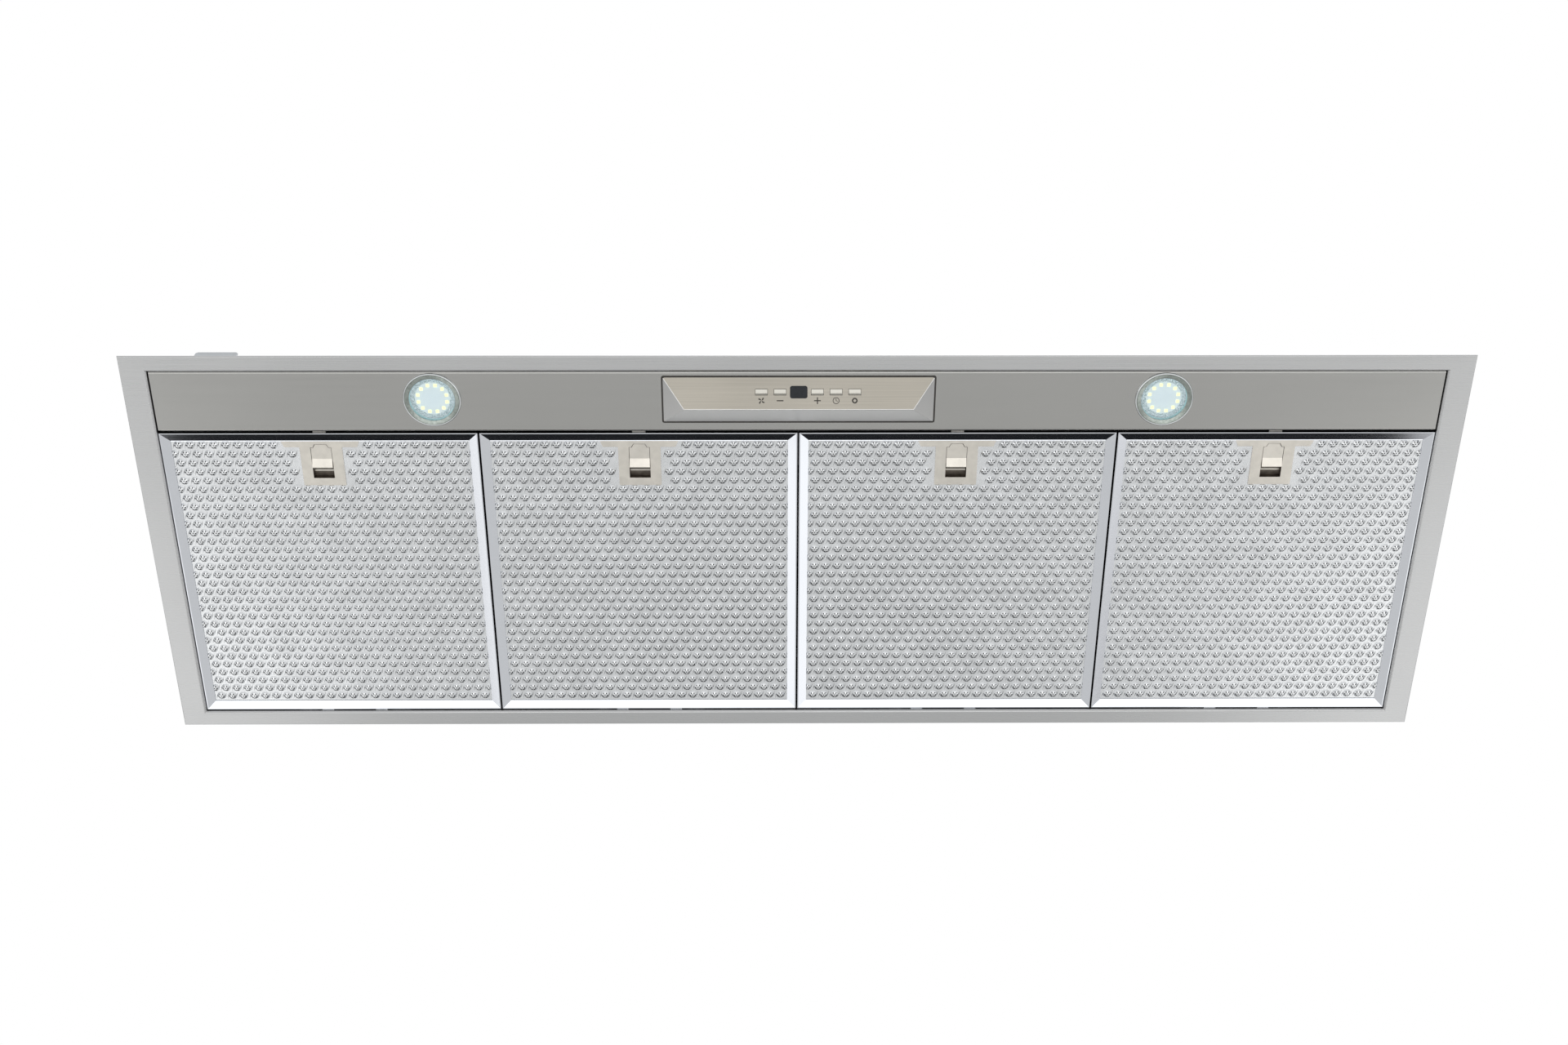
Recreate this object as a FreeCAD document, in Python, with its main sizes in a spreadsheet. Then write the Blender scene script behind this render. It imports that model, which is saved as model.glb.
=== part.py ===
import FreeCAD, Part
import math
import os
import Sketcher
from types import SimpleNamespace

# A 1200 mm built-in range hood insert, seen and used from below.
# Origin: centre of the seating plane, where the trim flange meets the underside of the cabinet.
# +Z is up into the cabinet, -Y is the cook's side and +X is on the cook's right.

V = FreeCAD.Vector
doc = FreeCAD.newDocument("range_hood_insert")

# ---------------------------------------------------------------- driving dimensions (mm, degrees)
DIMENSIONS = {
    # trim flange and folded housing
    "flange_width": 1200,
    "flange_depth": 396,
    "flange_thick": 2.0,
    "flange_side": 23.5,
    "flange_front": 15.5,
    "bend_radius": 2.5,
    "hem_step": 2.0,
    "sheet": 1.0,
    "upstand_height": 20,
    "front_wall": 24,
    "slope_run": 34.5,
    "housing_height": 90,
    "panel_tab": 12,
    "side_screw_spacing": 220,
    "side_screw_height": 50,
    "side_screw_radius": 2.75,
    # fascia with lamps and control pod
    "fascia_lift": 0.5,
    "fascia_depth": 60.2,
    "fascia_end_gap": 1.0,
    "fascia_leg": 16,
    "lamp_spacing": 654,
    "lamp_setback": 43.5,
    "lamp_ring_radius": 26,
    "lamp_ring_thick": 1.7,
    "lamp_hole_radius": 22.8,
    "lamp_ledge": 1.2,
    "lamp_ledge_thick": 1.1,
    "lens_radius": 21.4,
    "lens_thick": 2.2,
    "led_radius": 13.2,
    "led_side": 2.6,
    "led_height": 0.8,
    "led_space": 1.8,
    "led_count": 12,
    "lamp_board_thick": 1.6,
    "heat_sink_radius": 20.5,
    "heat_sink_core": 11,
    "heat_sink_height": 14,
    "fin_thick": 1.6,
    "fin_count": 12,
    "pod_width": 243,
    "pod_setback": 21.3,
    "pod_depth": 44.5,
    "pod_height": 12,
    "pod_ridge": 27,
    "pod_inset": 19.4,
    "pod_rim": 3,
    "pod_wall": 2.0,
    "pod_front_wall": 5.2,
    "pod_ridge_wall": 2.7,
    "pod_rear_wall": 4.4,
    "pod_soft": 1.2,
    "button_length": 10.6,
    "button_depth": 5.1,
    "button_ridge": 3.5,
    "button_rise": 1.4,
    "button_down": 13.7,
    "button_pitch": 16.6,
    "button_stem": 3.0,
    "button_front": 0.35,
    "button_back": 0.1,
    "button_skirt": 0.3,
    "button_travel_space": 1.1,
    "display_proud": 0.15,
    "display_fit": 0.02,
    "display_width": 15.6,
    "display_depth": 11.2,
    "display_corner": 2.0,
    "board_depth": 6.0,
    "board_thick": 1.6,
    "board_length": 132,
    "board_width": 20,
    "board_start": 7,
    "switch_side": 6,
    "switch_height": 1.6,
    "cover_length": 236,
    "cover_height": 15,
    "cover_wall": 1.2,
    "cover_corner": 2,
    "cover_foot": 10,
    "cover_foot_inset": 8,
    # grease filters
    "filter_thick": 9,
    "filter_gap": 1.8,
    "filter_end_gap": 0.6,
    "filter_front_gap": 1.5,
    "filter_rear_gap": 1.3,
    "rail_face": 8.5,
    "rail_slope": 2.5,
    "rail_sheet": 0.8,
    "rail_lip": 0.9,
    "rail_short": 2,
    "mesh_thick": 0.7,
    "hook_offset": 26.2,
    "hook_width": 10,
    "hook_thick": 0.8,
    "hook_reach": 4.8,
    "hook_lift": 0.5,
    "hook_slot_height": 4.5,
    "leaf_start": 37,
    "leaf_length": 17,
    "leaf_thick": 0.35,
    "leaf_height": 4.5,
    "leaf_bulge": 0.65,
    "leaf_foot": 2,
    "leaf_ramp": 0.35,
    "leaf_rise": 0.6,
    # filter latch
    "wing_width": 71,
    "wing_depth": 6,
    "wing_slant": 2.5,
    "plate_width": 38.6,
    "plate_depth": 45.2,
    "plate_thick": 0.8,
    "plate_setback": 0.8,
    "window_width": 19,
    "window_depth": 34.6,
    "window_start": 3.0,
    "window_shoulder": 3.4,
    "notch_front": 10.8,
    "notch_rear": 14.4,
    "cup_wall": 0.8,
    "cup_height": 5.6,
    "slide_lift": 0.2,
    "slide_height": 4.6,
    "slide_skin": 0.9,
    "slide_flat": 14.6,
    "lip_length": 7.6,
    "lip_drop": 2.3,
    "lip_thick": 0.6,
    "nose_width": 12,
    "nose_thick": 1.6,
    "nose_lift": 1.1,
    "nose_bevel": 1.2,
    "nose_grip": 2.0,
    "latch_travel": 5,
    "lug_setback": 4,
    "lug_width": 5.2,
    "lug_thick": 1.2,
    "lug_height": 3.0,
    "recess_start": 2.4,
    "recess_width": 7.2,
    "recess_depth": 3.2,
    "recess_end": 2.2,
    "spring_waves": 6,
    "spring_strip": 2.4,
    "spring_drop": 3.0,
    "spring_reach": 2.4,
    "spring_edge": 0.5,
    # blower
    "box_width": 300,
    "box_front": 55,
    "box_height": 190,
    "box_foot": 12,
    "roof_hole_width": 250,
    "roof_hole_inset": 14,
    "fan_setback": 40,
    "fan_rise": 92,
    "scroll_radius": 76,
    "scroll_step": 8,
    "scroll_width": 120,
    "scroll_wall": 1.5,
    "inlet_radius": 54,
    "inlet_lip": 5,
    "inlet_skin": 1.2,
    "inlet_depth": 3,
    "wheel_radius": 70,
    "wheel_width": 108,
    "wheel_ring": 3,
    "wheel_disc": 1.6,
    "blade_count": 18,
    "blade_trim": 1.1,
    "blade_depth": 11,
    "blade_sweep": 5,
    "blade_thick": 0.9,
    "hub_radius": 11,
    "hub_length": 26,
    "shaft_radius": 4,
    "shaft_end": 12,
    "motor_radius": 41,
    "motor_length": 66,
    "motor_gap": 2.8,
    "motor_shoulder": 7,
    "bearing_radius": 13,
    "arm_width": 12,
    "arm_thick": 2.8,
    "arm_foot": 5,
    "capacitor_radius": 15,
    "capacitor_length": 58,
    "capacitor_rise": 30,
    "capacitor_place": 111,
    "terminal_length": 7,
    "terminal_width": 5,
    "terminal_thick": 0.8,
    # duct collar and damper
    "collar_radius": 74.5,
    "collar_wall": 1.0,
    "collar_length": 50,
    "collar_base": 12,
    "collar_screw_inset": 6.5,
    "pin_radius": 2,
    "pin_height": 14,
    "flap_thick": 1.0,
    "knuckle_radius": 3.6,
    "knuckle_length": 30,
    "knuckle_strap": 2,
    # electrical entry and fixings
    "entry_length": 90,
    "entry_width": 60,
    "entry_height": 42,
    "entry_place": 320,
    "entry_wall": 1.2,
    "entry_corner": 2.5,
    "gland_radius": 11,
    "gland_neck": 8,
    "gland_bore": 4.2,
    "gland_inside": 5,
    "gland_nut": 22,
    "tab_width": 38,
    "tab_thick": 1.5,
    "tab_height": 21,
    "tab_high": 33.5,
    "tab_corner": 2,
    "tab_place": 522,
    "screw_head": 4.0,
    "screw_head_height": 2.4,
    # clearances
    "clearance": 0.3,
    "running_gap": 0.05,
}

sheet = doc.addObject("Spreadsheet::Sheet", "sizes")
for row, (name, number) in enumerate(DIMENSIONS.items(), 1):
    sheet.set("A%d" % row, name)
    sheet.set("B%d" % row, str(number))
    sheet.setAlias("B%d" % row, name)
doc.recompute()


class Size:
    """A number together with the sheet expression that it comes from."""

    def __init__(self, number, text):
        self.number = float(number)
        self.text = text

    def __add__(self, other):
        other = as_size(other)
        return Size(self.number + other.number, "(%s + %s)" % (self.text, other.text))

    def __sub__(self, other):
        other = as_size(other)
        return Size(self.number - other.number, "(%s - %s)" % (self.text, other.text))

    def __mul__(self, other):
        other = as_size(other)
        return Size(self.number * other.number, "%s * %s" % (self.text, other.text))

    def __truediv__(self, other):
        other = as_size(other)
        return Size(self.number / other.number, "%s / (%s)" % (self.text, other.text))

    def __neg__(self):
        return Size(-self.number, "(-1 * %s)" % self.text)

    __radd__ = __add__
    __rmul__ = __mul__

    def __rsub__(self, other):
        return as_size(other) - self


def as_size(value):
    if isinstance(value, Size):
        return value
    return Size(value, "%.6g" % value if value >= 0 else "(%.6g)" % value)


def root(size):
    return Size(math.sqrt(size.number), "sqrt(%s)" % size.text)


d = SimpleNamespace(**{name: Size(number, "sizes." + name) for name, number in DIMENSIONS.items()})
ZERO = as_size(0)
pieces = []


# ---------------------------------------------------------------- modelling helpers
def new_body(label, x=None, y=None, z=None):
    body = doc.addObject("PartDesign::Body", label)
    body.Label = label
    for axis, place in (("x", x), ("y", y), ("z", z)):
        if place is not None:
            body.setExpression("Placement.Base." + axis, as_size(place).text)
    pieces.append(body)
    return body


def draw_circle(sk, x, y, radius):
    index = sk.addGeometry(Part.Circle(V(x.number, y.number, 0), V(0, 0, 1), radius.number), False)
    for kind, place in (("DistanceX", x), ("DistanceY", y)):
        bound = sk.addConstraint(Sketcher.Constraint(kind, -1, 1, index, 3, place.number))
        sk.setExpression("Constraints[%d]" % bound, place.text)
    bound = sk.addConstraint(Sketcher.Constraint("Radius", index, radius.number))
    sk.setExpression("Constraints[%d]" % bound, radius.text)


def arc_between(start, end, radius):
    """The shorter arc from start to end, counter-clockwise where the radius is positive."""
    chord = end - start
    left = V(-chord.y, chord.x, 0).normalize()
    reach = math.sqrt(max(radius * radius - chord.Length ** 2 / 4, 0))
    centre = (start + end) / 2 + left * (reach if radius > 0 else -reach)
    first, last = (start, end) if radius > 0 else (end, start)
    begin = math.atan2(first.y - centre.y, first.x - centre.x)
    finish = math.atan2(last.y - centre.y, last.x - centre.x)
    if finish < begin:
        finish += 2 * math.pi
    return Part.ArcOfCircle(Part.Circle(centre, V(0, 0, 1), abs(radius)), begin, finish)


def draw_loop(sk, points):
    """A closed outline. A point's third entry is the radius of an arc to the next point."""
    spots = [V(as_size(p[0]).number, as_size(p[1]).number, 0) for p in points]
    ends = []
    for i, point in enumerate(points):
        start, end = spots[i], spots[(i + 1) % len(points)]
        if len(point) == 3:
            radius = as_size(point[2])
            index = sk.addGeometry(arc_between(start, end, radius.number), False)
            ends.append((index, 1, 2) if radius.number > 0 else (index, 2, 1))
            arc_size = radius if radius.number > 0 else -radius
            bound = sk.addConstraint(Sketcher.Constraint("Radius", index, arc_size.number))
            sk.setExpression("Constraints[%d]" % bound, arc_size.text)
        else:
            index = sk.addGeometry(Part.LineSegment(start, end), False)
            ends.append((index, 1, 2))
    for i, (index, first, last) in enumerate(ends):
        follower = ends[(i + 1) % len(ends)]
        sk.addConstraint(Sketcher.Constraint("Coincident", index, last, follower[0], follower[1]))
    for (index, first, last), point in zip(ends, points):
        for kind, place in (("DistanceX", as_size(point[0])), ("DistanceY", as_size(point[1]))):
            bound = sk.addConstraint(Sketcher.Constraint(kind, -1, 1, index, first, place.number))
            sk.setExpression("Constraints[%d]" % bound, place.text)


def sketch(body, name, plane, loops, offset=None):
    sk = body.newObject("Sketcher::SketchObject", name)
    support = [item for item in body.Origin.OriginFeatures if item.Role == plane + "_Plane"][0]
    sk.AttachmentSupport = (support, [""])
    sk.MapMode = "FlatFace"
    if offset is not None:
        sk.setExpression("AttachmentOffset.Base.z", as_size(offset).text)
    for loop in loops:
        if isinstance(loop, tuple):
            draw_circle(sk, *[as_size(value) for value in loop])
        else:
            draw_loop(sk, loop)
    return sk


def extrude(body, kind, name, sk, length, both=False, back=False):
    feature = body.newObject("PartDesign::" + kind, name)
    feature.Profile = sk
    feature.setExpression("Length", as_size(length).text)
    feature.SideType = "Symmetric" if both else "One side"
    feature.Reversed = back
    return feature


def pad(body, name, plane, loops, length, offset=None, both=False, back=False):
    sk = sketch(body, name + "_outline", plane, loops, offset)
    return extrude(body, "Pad", name, sk, length, both, back)


def pocket(body, name, plane, loops, length, offset=None, both=False, back=False):
    sk = sketch(body, name + "_outline", plane, loops, offset)
    return extrude(body, "Pocket", name, sk, length, both, back)


def revolve(body, name, plane, loops, axis, kind="Revolution"):
    sk = sketch(body, name + "_outline", plane, loops)
    feature = body.newObject("PartDesign::" + kind, name)
    feature.Profile = sk
    feature.ReferenceAxis = (sk, [axis])
    feature.Angle = 360
    return feature


def around(body, name, features, axis_role, count):
    """Repeats features about one of the body's own axes."""
    pattern = body.newObject("PartDesign::PolarPattern", name)
    pattern.Originals = features
    axis = [item for item in body.Origin.OriginFeatures if item.Role == axis_role][0]
    pattern.Axis = (axis, [""])
    pattern.Angle = 360
    pattern.setExpression("Occurrences", as_size(count).text)
    body.Tip = pattern
    return pattern


def rounded(body, name, base, chosen, radius):
    """Rounds the edges of base that the chosen function picks."""
    doc.recompute()
    names = ["Edge%d" % (i + 1) for i, edge in enumerate(base.Shape.Edges) if chosen(edge)]
    feature = body.newObject("PartDesign::Fillet", name)
    feature.Base = (base, names)
    feature.setExpression("Radius", as_size(radius).text)
    return feature


def box_outline(x0, x1, y0, y1):
    return [(x0, y0), (x1, y0), (x1, y1), (x0, y1)]


def rounded_outline(x0, x1, y0, y1, r):
    return [
        (x0 + r, y0), (x1 - r, y0, r), (x1, y0 + r), (x1, y1 - r, r),
        (x1 - r, y1), (x0 + r, y1, r), (x0, y1 - r), (x0, y0 + r, r),
    ]


def hexagon(x, y, radius):
    """Outline of a hexagon head with two flats parallel to x."""
    near = radius * 0.5
    flat = radius * math.sqrt(0.75)
    return [(x + radius, y), (x + near, y + flat), (x - near, y + flat),
            (x - radius, y), (x - near, y - flat), (x + near, y - flat)]


def fin_outline(core, reach, thick, count):
    """Star-shaped section of a heat sink: straight fins that stand out of a round core."""
    half = thick / 2
    points = []
    for step in range(int(count.number)):
        turn = 2 * math.pi * step / int(count.number)
        cosine, sine = math.cos(turn), math.sin(turn)
        for along, aside in ((core, -half), (reach, -half), (reach, half), (core, half)):
            points.append((along * cosine - aside * sine, along * sine + aside * cosine))
    return points


# ---------------------------------------------------------------- places shared by the pieces
open_x = d.flange_width / 2 - d.flange_side
open_y = d.flange_depth / 2 - d.flange_front
wall_x = open_x + d.sheet
wall_y = open_y + d.sheet
outer_y = wall_y + d.sheet
wall_foot = d.bend_radius - d.flange_thick
roof = d.housing_height
front_edge = -1 * (d.flange_depth / 2)

fascia_front = -1 * open_y
fascia_rear = fascia_front + d.fascia_depth
fascia_top = d.fascia_lift + d.sheet
lamp_y = front_edge + d.lamp_setback

filter_front = fascia_rear + d.filter_front_gap
filter_rear = open_y - d.filter_rear_gap
filter_width = (2 * open_x - 3 * d.filter_gap - 2 * d.filter_end_gap) / 4
filter_bottom = d.fascia_lift
filter_top = filter_bottom + d.filter_thick
filter_pitch = filter_width + d.filter_gap
hook_bottom = filter_bottom + d.hook_lift
mesh_bottom = filter_bottom + d.rail_slope + d.rail_sheet
plate_bottom = mesh_bottom - d.plate_thick
plate_front = filter_front + d.rail_face + d.plate_setback
window_front = plate_front + d.window_start
window_rear = window_front + d.window_depth
slide_bottom = plate_bottom + d.slide_lift
slide_top = slide_bottom + d.slide_height
nose_bottom = mesh_bottom + d.nose_lift

box_front = -1 * d.box_front
box_top = roof + d.box_height
fan_z = roof + d.fan_rise
outlet_front = d.fan_setback
outlet_rear = d.fan_setback + d.scroll_step + d.scroll_radius + 2 * d.scroll_step
collar_y = (outlet_front + outlet_rear) / 2
pin_z = box_top + d.pin_height


# ---------------------------------------------------------------- trim flange
def trim_flange():
    """Mitred frame: flange folded back on itself, rolled inner bend and slotted upstand."""
    body = new_body("trim_flange")
    bend_x = open_x + d.bend_radius
    bend_y = open_y + d.bend_radius
    half_x = d.flange_width / 2
    half_y = d.flange_depth / 2
    flat = pad(body, "flat", "XY", [
        box_outline(-half_x, half_x, -half_y, half_y),
        box_outline(-bend_x, bend_x, -bend_y, bend_y),
    ], d.flange_thick, back=True)
    rounded(body, "hem", flat, lambda edge: (
        abs(edge.CenterOfMass.x) > half_x.number - 0.1
        or abs(edge.CenterOfMass.y) > half_y.number - 0.1
    ) and abs(edge.tangentAt(edge.FirstParameter).z) < 0.5, 0.45 * d.flange_thick)
    step_x = bend_x + d.hem_step
    step_y = bend_y + d.hem_step
    pocket(body, "hem_edge", "XY", [box_outline(-step_x, step_x, -step_y, step_y)],
           d.flange_thick - d.sheet)
    low = -d.flange_thick
    bend_top = low + d.bend_radius
    inner_radius = d.bend_radius - d.sheet
    section = sketch(body, "upstand_section", "YZ", [[
        (-bend_y, low, d.bend_radius), (-open_y, bend_top), (-open_y, d.upstand_height),
        (-wall_y, d.upstand_height), (-wall_y, bend_top, -inner_radius),
        (-bend_y, low + d.sheet),
    ]])
    path = sketch(body, "upstand_path", "XY", [[
        (0, -bend_y), (bend_x, -bend_y), (bend_x, bend_y), (-bend_x, bend_y), (-bend_x, -bend_y),
    ]])
    doc.recompute()
    sweep = body.newObject("PartDesign::AdditivePipe", "upstand")
    sweep.Profile = section
    sweep.Spine = path
    sweep.Transition = "Right corner"
    hook_slots(body)


def hook_slots(body):
    """Slots for the filters' hooks through an upright wall at the rear."""
    half = d.hook_width / 2 + d.clearance
    low = hook_bottom - d.clearance
    loops = []
    for place in range(4):
        for side in (-1, 1):
            middle = (place - 1.5) * filter_pitch + side * d.hook_offset
            loops.append(box_outline(middle - half, middle + half, low, low + d.hook_slot_height))
    pocket(body, "hook_slots", "XZ", loops, 4 * d.sheet, offset=-1 * wall_y, both=True)


# ---------------------------------------------------------------- folded housing
def slope_corners():
    """Inner corners of the folded sheet at the foot and the top of the sloped front."""
    rise = roof - d.front_wall
    length = root(rise * rise + d.slope_run * d.slope_run)
    foot = (length - rise) / d.slope_run
    top = (length - d.slope_run) / rise
    return foot, top


def housing_shell():
    """Folded sheet: front wall, slope, roof and rear wall, open below."""
    body = new_body("housing_shell")
    foot, top = slope_corners()
    slope_end = d.slope_run - outer_y
    folded = pad(body, "folded", "YZ", [[
        (-outer_y, wall_foot), (-outer_y, d.front_wall), (slope_end, roof), (outer_y, roof),
        (outer_y, wall_foot), (wall_y, wall_foot), (wall_y, roof - d.sheet),
        (slope_end + d.sheet * top, roof - d.sheet),
        (-wall_y, d.front_wall - d.sheet * foot), (-wall_y, wall_foot),
    ]], 2 * wall_x, both=True)
    half = d.roof_hole_width / 2
    loops = [
        box_outline(-half, half, box_front + d.roof_hole_inset, wall_y - d.roof_hole_inset),
        (-d.entry_place, d.entry_width / 2, d.gland_radius),
    ]
    pocket(body, "roof_holes", "XY", loops, 4 * d.sheet, offset=roof, both=True)
    hook_slots(body)


def side_panel(label, side):
    """End plate with a tab folded in under the roof and two holes for the cabinet screws."""
    body = new_body(label)
    slope_end = d.slope_run - outer_y
    place = side * wall_x
    holes = [(y, d.side_screw_height, d.side_screw_radius)
             for y in (-1 * d.side_screw_spacing / 2, d.side_screw_spacing / 2)]
    pad(body, "plate", "YZ", [[
        (-outer_y, wall_foot), (-outer_y, d.front_wall), (slope_end, roof), (outer_y, roof),
        (outer_y, wall_foot),
    ]] + holes, d.sheet, offset=place, back=side < 0)
    low = roof - 2 * d.sheet
    pad(body, "tab", "YZ", [
        box_outline(slope_end + d.panel_tab, wall_y, low, roof - d.sheet),
    ], d.panel_tab, offset=place, back=side > 0)


def foot_screws():
    """Where the blower box is screwed to the roof, on its left and right feet and its front."""
    x = d.box_width / 2 + d.box_foot / 2
    rear = outer_y - 2 * d.box_foot
    front = box_front + d.box_foot
    middle = (front + rear) / 2
    return [(side * x, y) for side in (-1, 1) for y in (front, middle, rear)]


# ---------------------------------------------------------------- fascia, lamps and controls
def fascia_panel():
    """Folded front panel with a rolled rear lip, lamp holes, a hole for the pod and keeper slots."""
    body = new_body("fascia_panel")
    low = d.fascia_lift
    leg_top = low + d.fascia_leg
    radius = d.bend_radius
    inner = radius - d.sheet
    pad(body, "folded", "YZ", [[
        (fascia_front, low + radius, radius), (fascia_front + radius, low),
        (fascia_rear - radius, low, radius), (fascia_rear, low + radius),
        (fascia_rear, leg_top), (fascia_rear - d.sheet, leg_top),
        (fascia_rear - d.sheet, low + radius, -inner), (fascia_rear - radius, fascia_top),
        (fascia_front + radius, fascia_top, -inner), (fascia_front + d.sheet, low + radius),
        (fascia_front + d.sheet, leg_top), (fascia_front, leg_top),
    ]], 2 * open_x - 2 * d.fascia_end_gap, both=True)
    half = d.pod_width / 2 - d.pod_inset / 2
    pod_front = front_edge + d.pod_setback
    loops = [box_outline(-half, half, pod_front + d.pod_rim, pod_front + d.pod_depth - d.pod_rim)]
    for side in (-1, 1):
        loops.append((side * d.lamp_spacing / 2, lamp_y, d.lamp_hole_radius))
    pocket(body, "openings", "XY", loops, 4 * d.sheet, offset=fascia_top, both=True)
    slot_half = d.nose_width / 2 + d.clearance
    low = nose_bottom - d.clearance
    high = nose_bottom + d.nose_thick + d.clearance
    slots = []
    for place in range(4):
        middle = (place - 1.5) * filter_pitch
        slots.append(box_outline(middle - slot_half, middle + slot_half, low, high))
    pocket(body, "keeper_slots", "XZ", slots, 3 * d.sheet, offset=-1 * fascia_rear, both=True)


def lamps():
    """Two recessed spots: bevelled rings with sleeves, glasses, and LED boards on heat sinks."""
    face = d.fascia_lift
    sleeve_out = d.lamp_hole_radius
    sleeve_in = d.lens_radius + d.running_gap
    ledge_in = sleeve_in - d.lamp_ledge
    low = face - d.lamp_ring_thick
    lens_low = low + d.lamp_ledge_thick
    board = lens_low + d.lens_thick + d.led_space
    places = [(side * d.lamp_spacing / 2, lamp_y) for side in (-1, 1)]
    rings = new_body("lamp_rings")
    for count, (x, y) in enumerate(places):
        pad(rings, "rim_%d" % count, "XY", [(x, y, d.lamp_ring_radius), (x, y, ledge_in)],
            d.lamp_ring_thick, offset=low)
        pocket(rings, "seat_%d" % count, "XY", [(x, y, sleeve_in)],
               d.lamp_ring_thick - d.lamp_ledge_thick, offset=face)
        pad(rings, "sleeve_%d" % count, "XY", [(x, y, sleeve_out), (x, y, sleeve_in)],
            board - face, offset=face)
    lenses = new_body("lamp_lenses")
    pad(lenses, "discs", "XY", [(x, y, d.lens_radius) for x, y in places], d.lens_thick,
        offset=lens_low)
    modules = new_body("lamp_modules")
    half = d.led_side / 2
    fins = fin_outline(d.heat_sink_core, d.heat_sink_radius, d.fin_thick, d.fin_count)
    for count, (x, y) in enumerate(places):
        pad(modules, "board_%d" % count, "XY", [(x, y, sleeve_out - d.clearance)],
            d.lamp_board_thick, offset=board)
        pad(modules, "fins_%d" % count, "XY", [[(x + fx, y + fy) for fx, fy in fins]],
            d.heat_sink_height, offset=board + d.lamp_board_thick)
        chips = []
        for step in range(int(d.led_count.number)):
            turn = 2 * math.pi * (step + 0.5) / int(d.led_count.number)
            cx = x + d.led_radius * math.cos(turn)
            cy = y + d.led_radius * math.sin(turn)
            chips.append(box_outline(cx - half, cx + half, cy - half, cy + half))
        pad(modules, "leds_%d" % count, "XY", chips, d.led_height, offset=board, back=True)


def pod_frame():
    """Direction of the tilted control face, as cosine, sine and tilt angle."""
    length = root(d.pod_ridge * d.pod_ridge + d.pod_height * d.pod_height)
    tilt = Size(
        math.degrees(math.atan2(d.pod_height.number, d.pod_ridge.number)),
        "atan(%s / %s)" % (d.pod_height.text, d.pod_ridge.text),
    )
    return d.pod_ridge / length, d.pod_height / length, tilt, length


def tilt_onto_face(body):
    """Lays a body drawn flat onto the control face: y runs down the face, +z into the pod."""
    tilt = pod_frame()[2]
    body.Placement = FreeCAD.Placement(V(), FreeCAD.Rotation(V(1, 0, 0), -tilt.number))
    body.setExpression("Placement.Rotation.Angle", "-1 * %s" % tilt.text)
    body.setExpression("Placement.Base.y", (front_edge + d.pod_setback).text)
    body.setExpression("Placement.Base.z", d.fascia_lift.text)


def button_places():
    return [-2 * d.button_pitch, -1 * d.button_pitch, d.button_pitch, 2 * d.button_pitch,
            3 * d.button_pitch]


def control_pod():
    """Hipped wedge below the fascia, hollow, with holes for the buttons and the display."""
    body = new_body("control_pod")
    y0 = front_edge + d.pod_setback
    y1 = y0 + d.pod_depth
    ridge_y = y0 + d.pod_ridge
    face = d.fascia_lift
    low = face - d.pod_height
    half = d.pod_width / 2
    pad(body, "wedge", "YZ", [[(y0, face), (ridge_y, low), (y1, face)]], d.pod_width, both=True)
    ends = []
    for side in (-1, 1):
        outer = side * half
        beyond = side * (half + 5)
        ends.append([(outer, face), (side * (half - d.pod_inset), low), (outer, low - 5),
                     (beyond, low - 5), (beyond, face)])
    hips = pocket(body, "hip_cuts", "XZ", ends, 2 * d.flange_depth, both=True)
    soft = rounded(body, "soft_edges", hips, lambda edge: edge.CenterOfMass.z < face.number - 1,
                   d.pod_soft)
    wall = d.pod_wall
    inner_half = half - d.pod_inset
    pocket(body, "hollow", "YZ", [[
        (y0 + d.pod_front_wall, face), (ridge_y, low + d.pod_ridge_wall),
        (y1 - d.pod_rear_wall, face),
    ]], 2 * inner_half, both=True)
    cosine, sine, tilt, length = pod_frame()
    loops = []
    bw = d.button_length / 2 + d.clearance
    bd = d.button_depth / 2 + d.clearance
    for x in button_places():
        loops.append(box_outline(x - bw, x + bw, d.button_down - bd, d.button_down + bd))
    dw = d.display_width / 2
    dd = d.display_depth / 2
    loops.append(rounded_outline(-dw, dw, d.button_down - dd, d.button_down + dd, d.display_corner))
    holes = sketch(body, "face_holes_outline", "XY", loops)
    holes.AttachmentOffset = FreeCAD.Placement(V(), FreeCAD.Rotation(V(1, 0, 0), -tilt.number))
    holes.setExpression("AttachmentOffset.Rotation.Angle", "-1 * %s" % tilt.text)
    holes.setExpression("AttachmentOffset.Base.y", y0.text)
    holes.setExpression("AttachmentOffset.Base.z", face.text)
    extrude(body, "Pocket", "face_holes", holes, 3 * wall, both=True)


def display_lens():
    """Dark window, flush with the control face."""
    body = new_body("display_lens")
    tilt_onto_face(body)
    dw = d.display_width / 2 - d.display_fit
    dd = d.display_depth / 2 - d.display_fit
    pad(body, "window", "XY", [
        rounded_outline(-dw, dw, d.button_down - dd, d.button_down + dd, d.display_corner),
    ], d.pod_wall + 2 * d.display_proud, offset=-d.display_proud)


def control_button(label, x):
    """Rocker-shaped push button: ridged cap, skirt behind the face and a stem to its switch."""
    body = new_body(label, x)
    tilt_onto_face(body)
    y0 = d.button_down - d.button_depth / 2
    y1 = y0 + d.button_depth
    inside = d.pod_wall + d.button_skirt
    pad(body, "cap", "YZ", [[
        (y0, inside), (y0, -d.button_front), (y0 + d.button_ridge, -d.button_rise),
        (y1, -d.button_back), (y1, inside),
    ]], d.button_length, both=True)
    half = d.button_stem / 2
    stem_end = d.board_depth - d.switch_height - d.button_travel_space
    pad(body, "stem", "XY", [box_outline(-half, half, d.button_down - half, d.button_down + half)],
        stem_end - inside, offset=inside)


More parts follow.
